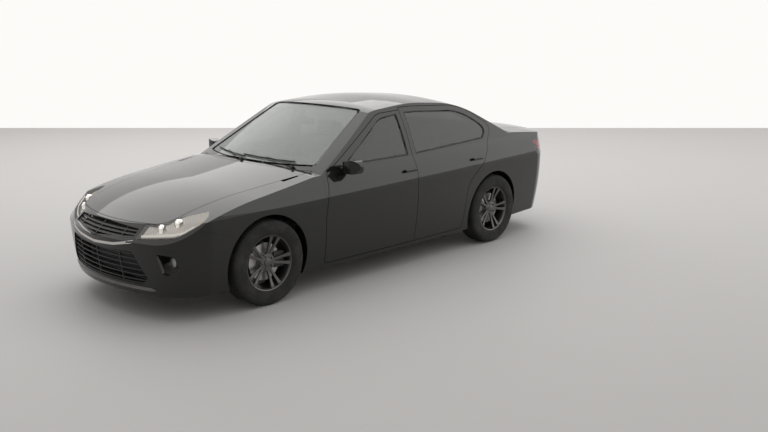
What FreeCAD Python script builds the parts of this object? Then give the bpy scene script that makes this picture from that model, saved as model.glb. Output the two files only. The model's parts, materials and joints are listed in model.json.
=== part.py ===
"""A four-door sedan, in millimetres: its nose points to -Y, its left side to +X, up is +Z, and the
origin is on the ground under the middle of its box."""

import FreeCAD, Part
import math
import os

V = FreeCAD.Vector

# Driving sizes of the whole car
FRONT_AXLE_Y = -1462
REAR_AXLE_Y = 1328
TYRE_RADIUS = 334
TYRE_WIDTH = 215
WHEEL_CENTRE_X = 787
ARCH_RADIUS = 378
STEER_AXIS_X = 757
NOSE_Y = -2428
TAIL_Y = 2428

# Wall and gap sizes
PANEL = 26
DOOR_SKIN_LOW = 50
DOOR_SKIN_HIGH = 30
DOOR_LOW = 110
DOOR_HIGH = 68
ROOF_THICK = 42
GAP = 5
SEAM = 0.8
SEAT_GAP = 0.3
GLASS_SET_IN = 7
GLASS_THICK = 5
FLOOR_THICK = 27

# Body side seen from the front, at y = 0: three arcs that meet at the crease and at the belt. The whole
# side is turned a little so that its lines rise to the rear, and bowed by a radius seen from above
FOOT = (838, 100)
LOWER = (894, 420)
CREASE = (912, 748)
SHOULDER = (893, 868)
BELT = (842, 976)
GLASS_MIDDLE = (733, 1238)
SIDE_TOP = (592, 1500)
SIDE_BOW = 60000
SIDE_RISE = 1.5
SIDE_REACH = 2800

# Hood and deck, seen from the side at the centre line, crowned across. Columns: y, z, corner radius
LOWER_TOP = (
    (-2700, -300, 0),
    (-2700, 540, 0),
    (-1870, 862, 2800),
    (-980, 992, 0),
    (1700, 1104, 0),
    (2150, 1070, 3000),
    (2700, 1000, 0),
    (2700, -300, 0),
)
ROOF_LINE = (
    (-1400, 776, 0),
    (-205, 1434, 600),
    (340, 1476, 2600),
    (980, 1438, 1400),
    (2200, 884, 0),
    (2200, 600, 0),
    (-1400, 600, 0),
)
CROWN_DEPTH = 5200
ROOF_CROWN_DEPTH = 2600
SCREEN_FOOT, SCREEN_TOP, SCREEN_BOW = (-1010, 985), (-205, 1428), 3700
BACK_TOP, BACK_FOOT, BACK_BOW = (980, 1434), (1740, 1089), 6900
HOOD_EDGE_LOW, HOOD_EDGE_HIGH, HOOD_EDGE_BOW = (-2424, 590), (-2305, 700), 2300
BOTTOM_LINE = ((-2700, 195, 0), (-1200, 178, 0), (900, 180, 0), (2700, 235, 0), (2700, 1700, 0), (-2700, 1700, 0))

# Nose and tail seen from above: a wide bow, then a tighter corner on each side
NOSE_BOW, TAIL_BOW = 1660, 2440
BOW_END_X = 610
CORNER_REACH = 3


# How much of a run two rounded corners may take up between them
CORNER_SHARE = 0.98


def line(a, b):
    return Part.LineSegment(a, b).toShape()


def arc(a, b, c):
    return Part.Arc(a, b, c).toShape()


def corner_at(points, i):
    """A corner's point, its two neighbours, half its angle and how far its arc would reach."""
    p, before, after = (V(*points[j % len(points)][:2], 0) for j in (i, i - 1, i + 1))
    half = (before - p).getAngle(after - p) / 2
    reach = points[i % len(points)][2] / math.tan(half) if points[i % len(points)][2] > 0 else 0
    return p, before, after, half, reach


def rounded_edges(points, place):
    """Lines and tangent arcs round a closed outline of (u, v, corner radius)."""
    corners = []
    for i in range(len(points)):
        p, before, after, half, reach = corner_at(points, i)
        if reach == 0:
            corners.append((p, None, p))
            continue
        for neighbour, j in ((before, i - 1), (after, i + 1)):
            room = CORNER_SHARE * (neighbour - p).Length
            reach = min(reach, room - min(corner_at(points, j)[4], room / 2))
        back, on = (before - p).normalize(), (after - p).normalize()
        r = reach * math.tan(half)
        middle = p + (back + on).normalize() * (r / math.sin(half) - r)
        corners.append((p + back * reach, middle, p + on * reach))
    edges = []
    for i, (start, middle, end) in enumerate(corners):
        if middle is not None:
            edges.append(arc(place(start), place(middle), place(end)))
        following = corners[(i + 1) % len(corners)][0]
        if (following - end).Length > 1e-6:
            edges.append(line(place(end), place(following)))
    return edges


def grown(points, by):
    """The outline moved outwards by a distance, or inwards if it is negative."""
    area = sum(
        points[i - 1][0] * points[i][1] - points[i][0] * points[i - 1][1] for i in range(len(points))
    )
    sign = 1 if area > 0 else -1
    moved = []
    for i, (u, v, r) in enumerate(points):
        p, q, s = V(u, v, 0), V(*points[i - 1][:2], 0), V(*points[(i + 1) % len(points)][:2], 0)
        d1, d2 = (p - q).normalize(), (s - p).normalize()
        n1, n2 = V(d1.y, -d1.x, 0) * sign, V(d2.y, -d2.x, 0) * sign
        m = n1 + n2
        shift = m * (by / (m.dot(n1)))
        convex = (d1.x * d2.y - d1.y * d2.x) * sign > 0
        radius = max(0, r + by if convex else r - by) if r > 0 else 0
        moved.append((u + shift.x, v + shift.y, radius))
    return moved


PLACES = {
    "side": (lambda p, w: V(w, p.x, p.y), V(1, 0, 0)),
    "plan": (lambda p, w: V(p.x, p.y, w), V(0, 0, 1)),
    "front": (lambda p, w: V(p.x, w, p.y), V(0, 1, 0)),
}


def prism(view, points, low, high):
    """An outline of (u, v, radius), seen in one view, drawn out from low to high along the third axis."""
    place, axis = PLACES[view]
    wire = Part.Wire(rounded_edges(points, lambda p: place(p, low)))
    return Part.Face(wire).extrude(axis * (high - low))


def box(x0, x1, y0, y1, z0, z1):
    return Part.makeBox(x1 - x0, y1 - y0, z1 - z0, V(x0, y0, z0))


def cylinder(radius, start, end):
    axis = V(*end) - V(*start)
    return Part.makeCylinder(radius, axis.Length, V(*start), axis)


def mirrored(shape):
    return shape.mirror(V(0, 0, 0), V(1, 0, 0))


def union(shapes):
    shapes = list(shapes)
    return shapes[0].multiFuse(shapes[1:]) if len(shapes) > 1 else shapes[0]


# The driving forms, whose common part is the body
def side_form(low, high):
    """Between the two body sides, moved inwards below and above the belt."""
    inner = -1300
    points = [V(x - low, 0, z) for x, z in (FOOT, LOWER, CREASE, SHOULDER, BELT)]
    points += [V(GLASS_MIDDLE[0] - (low + high) / 2, 0, GLASS_MIDDLE[1]), V(SIDE_TOP[0] - high, 0, SIDE_TOP[1])]
    top, foot = V(inner, 0, SIDE_TOP[1]), V(inner, 0, FOOT[1])
    edges = [arc(*points[i : i + 3]) for i in (0, 2, 4)]
    edges += [line(points[-1], top), line(top, foot), line(foot, points[0])]
    face = Part.Face(Part.Wire(edges))
    centre = V(CREASE[0] - SIDE_BOW, 0, 0)
    half = math.degrees(SIDE_REACH / SIDE_BOW)
    face.rotate(centre, V(0, 0, 1), -half)
    left = face.revolve(centre, V(0, 0, 1), 2 * half)
    left.rotate(V(0, 0, CREASE[1]), V(1, 0, 0), SIDE_RISE)
    return left.common(mirrored(left))


def crowned(profile, lowered, depth):
    """A side view profile turned about a line along Y that lies deep below it."""
    outline = [(y, z - (lowered if z > 700 or z == 540 else 0), r) for y, z, r in profile]
    face = Part.Face(Part.Wire(rounded_edges(outline, lambda p: V(0, p.x, p.y))))
    half = math.degrees(math.asin(1200 / (depth + 1500)))
    face.rotate(V(0, 0, -depth), V(0, 1, 0), -half)
    return face.revolve(V(0, 0, -depth), V(0, 1, 0), 2 * half)


def bowed_slope(a, b, radius, inset):
    """A great leaning cylinder whose front line runs from a to b in the side view."""
    start, end = V(0, *a), V(0, *b)
    along = (end - start).normalize()
    outward = V(0, -along.z, along.y)
    centre = start - outward * radius - along * 4000
    return Part.makeCylinder(radius - inset, 9000, centre, along)


def top_form(lowered):
    house = crowned(ROOF_LINE, lowered, ROOF_CROWN_DEPTH)
    house = house.common(bowed_slope(SCREEN_FOOT, SCREEN_TOP, SCREEN_BOW, lowered))
    house = house.common(bowed_slope(BACK_TOP, BACK_FOOT, BACK_BOW, lowered))
    return crowned(LOWER_TOP, lowered, CROWN_DEPTH).fuse(house)


def end_parts(tip_y, bow, lean, inset):
    """One end as three slices of turned profile. lean lists how far the upper profile falls back."""
    back = 1 if tip_y < 0 else -1
    rise = math.tan(math.radians(SIDE_RISE)) * (tip_y + back * 500)
    turn = math.asin(BOW_END_X / bow)
    side_x = CREASE[0] - (tip_y + back * 500) ** 2 / (2 * SIDE_BOW) + CORNER_REACH
    corner = (side_x - BOW_END_X) / (1 - math.sin(turn))
    bow_centre = V(0, tip_y + back * bow, 0)
    corner_centre = V(math.sin(turn) * (bow - corner), bow_centre.y - back * math.cos(turn) * (bow - corner), 0)
    low = [(CREASE[0] - x + inset, z + rise) for x, z in (FOOT, LOWER, CREASE)]
    high = [(d + inset, z) for d, z in lean]

    def slice_of(centre, radius, start, sweep):
        p = [V(radius - d, 0, z) for d, z in low + high]
        edges = [arc(*p[:3])] + [line(p[i], p[i + 1]) for i in range(2, len(p) - 1)]
        edges += [line(p[-1], V(0, 0, p[-1].z)), line(V(0, 0, p[-1].z), V(0, 0, p[0].z)), line(V(0, 0, p[0].z), p[0])]
        face = Part.Face(Part.Wire(edges))
        face.rotate(V(0, 0, 0), V(0, 0, 1), start)
        face.translate(centre)
        return face.revolve(centre, V(0, 0, 1), sweep)

    degrees = math.degrees(turn)
    facing = -90 * back
    middle = slice_of(bow_centre, bow, facing - degrees, 2 * degrees)
    start = facing + degrees if back > 0 else 0
    left = slice_of(corner_centre, corner, start, 90 - degrees)
    return [middle, left, mirrored(left)], bow_centre, corner_centre, (low[0][1], high[-1][1])


NOSE_LEAN = ((0, 1140),)
TAIL_LEAN = ((58, 1140),)


def end_form(inset):
    nose, n1, n2, n_z = end_parts(NOSE_Y, NOSE_BOW, NOSE_LEAN, inset)
    tail, t1, t2, t_z = end_parts(TAIL_Y, TAIL_BOW, TAIL_LEAN, inset)
    wide = 1050
    left = [(wide, n2.y), (wide, t2.y), (t2.x, t2.y), (t1.x, t1.y)]
    right = [(-t2.x, t2.y), (-wide, t2.y), (-wide, n2.y), (-n2.x, n2.y)]
    outline = [(u, v, 0) for u, v in left + right + [(n1.x, n1.y), (n2.x, n2.y)]]
    block = prism("plan", outline, 0, 1140)
    return block.multiFuse(nose + tail)


def body_form(low, high, bottom, top, end):
    raised = [(y, z + (bottom if z < 1000 else 0), r) for y, z, r in BOTTOM_LINE]
    form = side_form(low, high).common(prism("side", raised, -1200, 1200))
    form = form.common(bowed_slope(HOOD_EDGE_LOW, HOOD_EDGE_HIGH, HOOD_EDGE_BOW, end))
    lower_end = end_form(end)
    upper = box(-1050, 1050, -1500, 2050, 1000, 1600)
    return form.common(top_form(top)).common(lower_end.fuse(upper))


def half_space(point, normal):
    """Everything on the far side of a plane, as a big box whose face lies on it."""
    size = 8000
    block = Part.makeBox(size, size, size, V(-size / 2, -size / 2, 0))
    block.Placement = FreeCAD.Placement(point, FreeCAD.Rotation(V(0, 0, 1), normal))
    return block


def leaning_prism(view, points, low, high, lean, upright_at):
    """A prism whose outline shifts by lean for each unit along its third axis."""
    place, axis = PLACES[view]
    start = [(u + lean[0] * (low - upright_at), v + lean[1] * (low - upright_at), r) for u, v, r in points]
    along = place(V(lean[0], lean[1], 0), 0)
    wire = Part.Wire(rounded_edges(start, lambda p: place(p, low)))
    return Part.Face(wire).extrude((axis + along) * (high - low))


def rounded_block(x0, x1, y0, y1, z0, z1, radius):
    block = box(x0, x1, y0, y1, z0, z1)
    return block.makeFillet(radius, block.Edges)


def both_sides(shape):
    return Part.makeCompound([shape, mirrored(shape)])


# Hollows of the body. The firewall, shelf and bulkhead are what is left between them
FIREWALL_Y = -1045
FIREWALL_THICK = 20
SHELF_Z = 985
BULKHEAD_Y = 1330
BACKLIGHT_FOOT_Y = 1700
LID_FRONT_Y = 1742
TRUNK_FLOOR_Z = 420
PLATE = 25
SEAT_PAN_Y = 980
SEAT_PAN_Z = 400
LID_HALF = 566
LID_FOOT_Z = 772
BELT_Z = 975
SIDE_LOW_X = 735
SIDE_HIGH_X = 560
SIDE_STEP_Z = 900
COWL_HALF = 745
TAIL_PANEL_Y = 1850
TAIL_PANEL_Z = 600
HOOD_SEAT = (600, 640, -1070, -950, 890, 1000)
EXHAUST_X = (-270, 370)
EXHAUST_RADIUS = 30
EXHAUST_START, EXHAUST_END = (2060, 262), (2390, 236)
DEEP = 200

cabin_outline = [
    (FIREWALL_Y + FIREWALL_THICK, 100, 0),
    (FIREWALL_Y + FIREWALL_THICK, 1600, 0),
    (BACKLIGHT_FOOT_Y + 12, 1600, 0),
    (BACKLIGHT_FOOT_Y + 12, SHELF_Z + PLATE, 0),
    (BULKHEAD_Y + 55, SHELF_Z + PLATE, 0),
    (BULKHEAD_Y - PLATE, SEAT_PAN_Z, 0),
    (SEAT_PAN_Y, SEAT_PAN_Z, 0),
    (SEAT_PAN_Y, 100, 0),
]
trunk_outline = [
    (BULKHEAD_Y, TRUNK_FLOOR_Z + PLATE, 0),
    (BULKHEAD_Y + 80, SHELF_Z, 0),
    (LID_FRONT_Y - 2, SHELF_Z, 0),
    (LID_FRONT_Y - 2, 1400, 0),
    (2600, 1400, 0),
    (2600, TRUNK_FLOOR_Z + PLATE, 0),
]
BODY = body_form(0, 0, 0, 0, 0)
OPEN_BELOW = body_form(PANEL, PANEL, -DEEP, PANEL, PANEL)
CABIN = body_form(DOOR_LOW, DOOR_HIGH, FLOOR_THICK, ROOF_THICK, PANEL).common(
    prism("side", cabin_outline, -1000, 1000)
)
TRUNK = OPEN_BELOW.common(prism("side", trunk_outline, -1000, 1000))
NOSE_SKIN = BODY.common(box(-1000, 1000, -2600, -880, 0, 1300)).cut(OPEN_BELOW)
TAIL_SKIN = BODY.common(box(-1000, 1000, BULKHEAD_Y, 2600, 0, 1300)).cut(OPEN_BELOW)
engine_bay = OPEN_BELOW.common(box(-1000, 1000, -2600, FIREWALL_Y, 0, 1300))
under_trunk = OPEN_BELOW.common(
    box(-1000, 1000, BULKHEAD_Y, 2600, 0, TRUNK_FLOOR_Z).fuse(
        box(-1000, 1000, SEAT_PAN_Y + PLATE, 2600, 0, SEAT_PAN_Z - PLATE)
    )
)
WALL = BODY.cut(CABIN.multiFuse([TRUNK, engine_bay, under_trunk]))


def skin_x(y, z):
    """How far out the body side is at a station and height."""
    return BODY.common(line(V(0, y, z), V(1200, y, z))).BoundBox.XMax


def skin_z(x, y):
    """How high the body is over a point of the plan."""
    return BODY.common(line(V(x, y, 700), V(x, y, 1700))).BoundBox.ZMax


# Doors and their windows seen from the side. Columns: y, z, corner radius
B_SEAM_Y = 192
FRONT_DOOR = [
    (-888, 216, 30),
    (-892, 600, 0),
    (-838, 938, 20),
    (-100, 1356, 260),
    (B_SEAM_Y + 400, 1386, 0),
    (B_SEAM_Y + 400, 216, 0),
]
REAR_DOOR = [
    (B_SEAM_Y - 400, 1386, 0),
    (420, 1392, 1500),
    (1100, 1362, 700),
    (1415, 1146, 60),
    (1300, 1010, 40),
    (1150, 830, 300),
    (905, 640, 200),
    (880, 216, 30),
    (B_SEAM_Y - 400, 216, 0),
]
FRONT_WINDOW = [(-640, 985, 20), (-95, 1318, 240), (B_SEAM_Y + 400, 1401, 0), (B_SEAM_Y + 400, 993, 0)]
REAR_WINDOW = [
    (B_SEAM_Y - 400, 972, 0),
    (B_SEAM_Y - 400, 1342, 0),
    (430, 1352, 1500),
    (1092, 1318, 640),
    (1350, 1120, 60),
    (1240, 1037, 20),
]
WINDOW_TO_SEAM = 48
REAR_LEAN = 0.35
LOW_LEAN = 0.12
SEAM_REF_X = 905
DOOR_INSET = 60
INNER_GAP = 13
PILLAR_GAP = 8
HINGE_HEIGHTS = (330, 690)
SEAM_LIP = 8
SEAM_RELIEF = {"front": (B_SEAM_Y - 27, B_SEAM_Y + 27), "rear": (B_SEAM_Y - 40, B_SEAM_Y - 4)}


def b_seam(offset, forward):
    """What lies in front of, or behind, the seam between the doors, moved by an offset."""
    belt_x, top_x, top_z = skin_x(B_SEAM_Y, BELT_Z), skin_x(B_SEAM_Y, 1380), 1380
    belt_y = B_SEAM_Y + offset - (SEAM_REF_X - belt_x) * LOW_LEAN
    sign = -1 if forward else 1
    slant, rise = V(1, REAR_LEAN, 0), V(top_x - belt_x, 0, top_z - BELT_Z)
    low = half_space(V(SEAM_REF_X, B_SEAM_Y + offset, 0), V(-LOW_LEAN, 1, 0) * sign)
    high = half_space(V(belt_x, belt_y, BELT_Z), rise.cross(slant) * sign)
    low = low.common(box(300, 1100, -3000, 3000, 0, BELT_Z))
    high = high.common(box(300, 1100, -3000, 3000, BELT_Z, 1600))
    return low.fuse(high)


def door_form(which, grow, seam):
    """The shape that a door's outline cuts, moved outwards at its edges and along at the middle seam."""
    front = which == "front"
    outline = grown(FRONT_DOOR if front else REAR_DOOR, grow)
    lean = (0 if front else REAR_LEAN, 0)
    return leaning_prism("side", outline, 300, 1100, lean, SEAM_REF_X).common(b_seam(seam, front))


def window_form(which, by):
    """The shape that a window's outline cuts; beside the middle seam its edge runs along the seam."""
    front = which == "front"
    outline = grown(FRONT_WINDOW if front else REAR_WINDOW, by)
    lean = (0 if front else REAR_LEAN, 0)
    edge = (by - WINDOW_TO_SEAM) * (1 if front else -1)
    return leaning_prism("side", outline, 300, 1100, lean, SEAM_REF_X).common(b_seam(edge, front))


SKIN_SIDE = side_form(DOOR_SKIN_LOW, DOOR_SKIN_HIGH)
CORE_SIDE = side_form(DOOR_SKIN_LOW - 1, DOOR_SKIN_HIGH - 1)
PILLAR_SIDE = side_form(DOOR_SKIN_LOW + PILLAR_GAP, DOOR_SKIN_HIGH + PILLAR_GAP)
GLASS_OUT = side_form(GLASS_SET_IN, GLASS_SET_IN)
GLASS_IN = side_form(GLASS_SET_IN + GLASS_THICK, GLASS_SET_IN + GLASS_THICK)
DOOR_WALL = BODY.common(box(300, 1100, -1000, 1600, 100, 1500)).cut(side_form(DOOR_LOW, DOOR_HIGH))
HANDLE_Y = {"front": (20, 160), "rear": (960, 1100)}
HANDLE_Z = 868


def handle(which):
    """A pull bar on two feet, standing off the skin just below the belt."""
    y0, y1 = HANDLE_Y[which]
    x = skin_x((y0 + y1) / 2, HANDLE_Z)
    bar = rounded_block(x + 16, x + 32, y0, y1, HANDLE_Z - 12, HANDLE_Z + 12, 6)
    feet = [box(x - 12, x + 24, y, y + 30, HANDLE_Z - 9, HANDLE_Z + 9) for y in (y0 + 4, y1 - 34)]
    return union([bar] + feet)


def edge_relief(which):
    """Behind their outer lips the doors' edges at the middle seam are cut back, clear of each other."""
    y0, y1 = SEAM_RELIEF[which]
    return side_form(SEAM_LIP, SEAM_LIP).common(box(300, 1100, y0, y1, 100, 1500))


def door(which):
    away = -1 if which == "front" else 1
    wall = DOOR_WALL.common(door_form(which, 0, away * GAP / 2))
    outer = wall.cut(SKIN_SIDE)
    core = wall.common(door_form(which, -DOOR_INSET - INNER_GAP, away * (DOOR_INSET + INNER_GAP)))
    core = core.common(CORE_SIDE).common(box(300, 1100, -1000, 1600, 230, 925))
    shape = outer.fuse(core).cut(window_form(which, 0)).cut(edge_relief(which))
    return shape.fuse(handle(which))


def door_glass(which):
    return window_form(which, -SEAT_GAP).common(GLASS_OUT).cut(GLASS_IN)


def door_opening(which):
    """What a door leaves open: the skin's depth all over, then a smaller way through."""
    away = -1 if which == "front" else 1
    skin_cut = door_form(which, GAP, -away * GAP / 2).cut(PILLAR_SIDE)
    return skin_cut.fuse(door_form(which, -DOOR_INSET, away * DOOR_INSET))


def hinge_leaves(which):
    """Two leaves on the pillar that come up to the door's inner side beside its hinge line."""
    y0 = -870 if which == "front" else B_SEAM_Y + 18
    blocks = [box(700, 1100, y0, y0 + 34, z - 30, z + 30) for z in HINGE_HEIGHTS]
    depth = side_form(DOOR_SKIN_LOW + SEAT_GAP, DOOR_SKIN_HIGH).cut(side_form(DOOR_SKIN_LOW + 12, DOOR_SKIN_HIGH))
    return [depth.common(block) for block in blocks]


# Glass, hood and lid seen from above. Columns: x, y, corner radius
WINDSCREEN = [(-722, -850, 40), (0, -1150, 1690), (722, -850, 40), (566, -160, 60), (0, -270, 2670), (-566, -160, 60)]
BACKLIGHT = [(-575, 1035, 60), (0, 1085, 5900), (575, 1035, 60), (655, 1600, 50), (0, 1800, 2017), (-655, 1600, 50)]
HOOD_FRONT = [(-768, -500, 0), (768, -500, 0), (600, -2190, 160), (0, -2365, 1600), (-600, -2190, 160)]
HOOD_REAR = [(-900, -835, 0), (0, -1215, 1690), (900, -835, 0), (900, -2900, 0), (-900, -2900, 0)]
HOOD_LEAN = -0.3
HOOD_REF_Z = 715


def hood_form(by):
    front = leaning_prism("plan", grown(HOOD_FRONT, by), 400, 1200, (0, HOOD_LEAN), HOOD_REF_Z)
    return front.common(prism("plan", grown(HOOD_REAR, by), 400, 1200))


def lid_form(by):
    return box(-LID_HALF - by, LID_HALF + by, LID_FRONT_Y - by, 2600, LID_FOOT_Z - by, 1400)


glass_top, glass_under = top_form(GLASS_SET_IN), top_form(GLASS_SET_IN + GLASS_THICK)
roof_under = top_form(ROOF_THICK + 3)
hood_under = top_form(PANEL + GAP)
windscreen = prism("plan", grown(WINDSCREEN, -SEAT_GAP), 880, 1600).common(glass_top).cut(glass_under)
rear_window = prism("plan", grown(BACKLIGHT, -SEAT_GAP), 990, 1600).common(glass_top).cut(glass_under)
screen_hole = prism("plan", WINDSCREEN, 880, 1600).cut(roof_under)
backlight_hole = prism("plan", BACKLIGHT, 990, 1600).cut(roof_under)
hood_space = hood_form(GAP).cut(hood_under)
hood = NOSE_SKIN.common(hood_form(0)).common(box(-900, 900, -2600, -880, 500, 1100))
trunk_lid = TAIL_SKIN.common(lid_form(0))


# Lamps, seen across the corner that they wrap round. Columns: distance along, z, corner radius
HEADLAMP = [(-1375, 600, 12), (-1375, 668, 12), (-1060, 742, 700), (-780, 792, 14), (-840, 728, 60), (-1010, 636, 260)]
TAIL_LAMP = [(1305, 800, 40), (1305, 912, 40), (800, 950, 14), (860, 850, 40)]
LAMP_DEPTH = 90


def corner_prism(points, turn, by):
    """A prism through one corner of the car; turn is the view's azimuth, 45 at the left front corner."""
    a = math.radians(turn)
    right, towards = V(math.cos(a), math.sin(a), 0), V(math.sin(a), -math.cos(a), 0)
    wire = Part.Wire(rounded_edges(grown(points, by), lambda p: right * p.x + V(0, 0, p.y) + towards * 1200))
    return Part.Face(wire).extrude(towards * 1800)


def lamp_box(y0, y1, by):
    return box(LID_HALF + GAP - by if y0 > 0 else 452 - by, 1100, y0, y1, 400, 1000)


lamp_depth_form = body_form(LAMP_DEPTH, LAMP_DEPTH, -DEEP, LAMP_DEPTH, LAMP_DEPTH)
head_form = corner_prism(HEADLAMP, 45, 0).common(lamp_box(-2600, -1500, 0))
head_seam = corner_prism(HEADLAMP, 45, SEAM).common(lamp_box(-2600, -1500, SEAM))
tail_form = corner_prism(TAIL_LAMP, 135, 0).common(lamp_box(1800, 2600, 0))
tail_seam = corner_prism(TAIL_LAMP, 135, SEAM).common(lamp_box(1800, 2600, 0))
headlamp = BODY.common(head_form).cut(lamp_depth_form).cut(hood_form(GAP))
tail_lamp = BODY.common(tail_form).cut(lamp_depth_form)

# Bumpers seen from the side. Columns: y, z, corner radius
FRONT_BUMPER = [(-2600, 100, 0), (-1700, 100, 0), (-1700, 520, 0), (-1812, 610, 0), (-1960, 655, 0), (-2130, 700, 0), (-2600, 760, 0)]
REAR_BUMPER = [(2600, 100, 0), (1560, 100, 0), (1560, 560, 0), (1760, 640, 0), (2090, 766, 0), (2600, 766, 0)]
ARCH_INNER = {"front": 470, "rear": 655}
AXLES = {"front": FRONT_AXLE_Y, "rear": REAR_AXLE_Y}
LINER_WALL = 9
DAMPER_X = 560
SPRING_RADIUS = 44


def arch(which, by=0):
    y = AXLES[which]
    return cylinder(ARCH_RADIUS + by, (ARCH_INNER[which] - by, y, TYRE_RADIUS), (1100, y, TYRE_RADIUS))


# Grille openings in the nose, seen from the front. Columns: x, z, corner radius
UPPER_GRILLE = [(-425, 612, 10), (-418, 668, 10), (0, 690, 3000), (418, 668, 10), (425, 612, 10), (0, 575, 60)]
LOWER_GRILLE = [(-430, 520, 30), (0, 508, 60), (430, 520, 30), (560, 300, 40), (480, 268, 40), (-480, 268, 40), (-560, 300, 40)]
SIDE_VENT = [(640, 520, 14), (752, 500, 30), (770, 385, 40), (672, 352, 30)]
BAR_DEPTH = (10, 26)
UPPER_BARS = (606, 628, 650)
LOWER_BARS = (300, 340, 380, 420, 460, 496)
BAR_HALF = 4


def opening(points, by=0):
    return prism("front", grown(points, by), -2600, -2000)


SKIN_BACK = body_form(PANEL + SEAM, PANEL + SEAM, -DEEP, PANEL + SEAM, PANEL + SEAM)
bumper_zone = prism("side", FRONT_BUMPER, -1000, 1000)
bumper_seam = prism("side", grown(FRONT_BUMPER, SEAM), -1000, 1000)
rear_zone = prism("side", REAR_BUMPER, -1000, 1000)
rear_seam = prism("side", grown(REAR_BUMPER, SEAM), -1000, 1000).cut(SKIN_BACK)

front_bumper = NOSE_SKIN.common(bumper_zone)
for tool in (arch("front"), mirrored(arch("front")), hood_form(GAP), head_seam, mirrored(head_seam)):
    front_bumper = front_bumper.cut(tool)
for tool in (opening(UPPER_GRILLE), opening(LOWER_GRILLE), opening(SIDE_VENT), mirrored(opening(SIDE_VENT))):
    front_bumper = front_bumper.cut(tool)

grille_layer = BODY.common(box(-850, 850, -2600, -2000, 200, 720)).cut(
    body_form(BAR_DEPTH[1], BAR_DEPTH[1], -DEEP, BAR_DEPTH[1], BAR_DEPTH[1])
).common(body_form(BAR_DEPTH[0], BAR_DEPTH[0], -DEEP, BAR_DEPTH[0], BAR_DEPTH[0]))


def grille(outline, bars, rim):
    """A rim just inside an opening, with level bars across it."""
    frame = opening(outline, -SEAT_GAP).cut(opening(outline, -rim))
    rows = union([box(-800, 800, -2600, -2000, z - BAR_HALF, z + BAR_HALF) for z in bars])
    rows = rows.common(opening(outline, -rim / 2))
    posts = union([box(x - BAR_HALF, x + BAR_HALF, -2600, -2000, 240, 700) for x in (-290, 0, 290)])
    posts = posts.common(opening(outline, -rim / 2))
    return grille_layer.common(frame.fuse(rows).fuse(posts))


upper_grille = grille(UPPER_GRILLE, UPPER_BARS, 8).cut(hood_form(GAP))
grilles = Part.makeCompound([upper_grille, grille(LOWER_GRILLE, LOWER_BARS, 12)])

rear_bumper = TAIL_SKIN.common(rear_zone)
for tool in (arch("rear"), mirrored(arch("rear")), lid_form(GAP), box(-690, 690, 1500, 2230, 100, 330)):
    rear_bumper = rear_bumper.cut(tool)
for x in EXHAUST_X:
    rear_bumper = rear_bumper.cut(cylinder(EXHAUST_RADIUS + 8, (x, *EXHAUST_START), (x, 2600, 219.5)))

# Fender: the skin from the bumper back to the front door, with the liner over its wheel
fender = NOSE_SKIN.common(box(400, 1100, -2400, -893, 100, 1100))
for tool in (door_form("front", GAP, 0), hood_form(GAP), arch("front"), bumper_seam, head_seam):
    fender = fender.cut(tool)
fender = fender.cut(prism("plan", grown(WINDSCREEN, 20), 800, 1600)).cut(box(0, COWL_HALF, -1200, -800, 880, 1100))


def liner(which):
    """The splash shield over a wheel, as thick as LINER_WALL, from inboard out to the skin."""
    y, x0 = AXLES[which], ARCH_INNER[which] - LINER_WALL
    shell = arch(which, LINER_WALL).cut(arch(which))
    if which == "front":
        shell = shell.cut(box(0, 500, y - 700, y + 700, 0, 1200))
        shell = shell.cut(cylinder(SPRING_RADIUS + 12, (DAMPER_X, y, 600), (DAMPER_X, y, 800)))
    else:
        shell = shell.cut(box(0, ARCH_INNER[which] + 1, y - 150, y + 150, 0, 480))
    return shell.common(box(x0, 1000, y - 420, y + 420, 230, 900)).common(OPEN_BELOW)


# Body sides, roof, floor
body_side = WALL.common(box(SIDE_LOW_X, 1100, FIREWALL_Y, 2600, 100, SIDE_STEP_Z)).fuse(
    WALL.common(box(SIDE_HIGH_X, 1100, FIREWALL_Y, 2600, SIDE_STEP_Z, 1600))
)
body_side = body_side.fuse(WALL.common(box(LID_HALF, 1100, TAIL_PANEL_Y, 2600, TAIL_PANEL_Z, SIDE_STEP_Z)))
fender_space = box(COWL_HALF - SEAM, 1100, -1100, -893 + SEAM, 100, 1100).cut(SKIN_BACK)
for tool in (
    door_opening("front"),
    door_opening("rear"),
    fender_space,
    arch("rear"),
    rear_seam,
    screen_hole,
    backlight_hole,
    lid_form(GAP),
    hood_space,
    tail_seam,
):
    body_side = body_side.cut(tool)
# Seats for the hood and the lid beside their hinge lines
panel_seat = top_form(PANEL + SEAT_GAP)
hood_seat = box(*HOOD_SEAT).common(panel_seat)
lid_seat = box(470, 510, 1700, LID_FRONT_Y + 36, SHELF_Z + 5, 1150).common(panel_seat)
body_side = body_side.multiFuse([liner("rear"), hood_seat] + hinge_leaves("front") + hinge_leaves("rear"))
roof = WALL.common(box(-SIDE_HIGH_X, SIDE_HIGH_X, -320, 1270, 1150, 1600)).cut(screen_hole).cut(backlight_hole)
middle = WALL.common(box(-SIDE_HIGH_X, SIDE_HIGH_X, FIREWALL_Y, 1780, SIDE_STEP_Z, 1150))
middle = middle.cut(screen_hole).cut(backlight_hole).cut(lid_form(GAP)).cut(hood_space)
cowl_front = NOSE_SKIN.common(box(-400, 400, -1200, FIREWALL_Y, 880, 1100)).cut(hood_form(GAP)).cut(screen_hole)
cowl = middle.common(box(-1000, 1000, -1200, 0, 0, 1600)).fuse(cowl_front)
shelf = middle.common(box(-1000, 1000, 900, 2000, 0, 1600)).multiFuse([lid_seat, mirrored(lid_seat)])
floor_pan = WALL.common(
    box(-SIDE_LOW_X, SIDE_LOW_X, FIREWALL_Y, 1500, 100, SIDE_STEP_Z).fuse(
        box(-SIDE_LOW_X, SIDE_LOW_X, 1500, 2600, 100, 600)
    )
)
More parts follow.
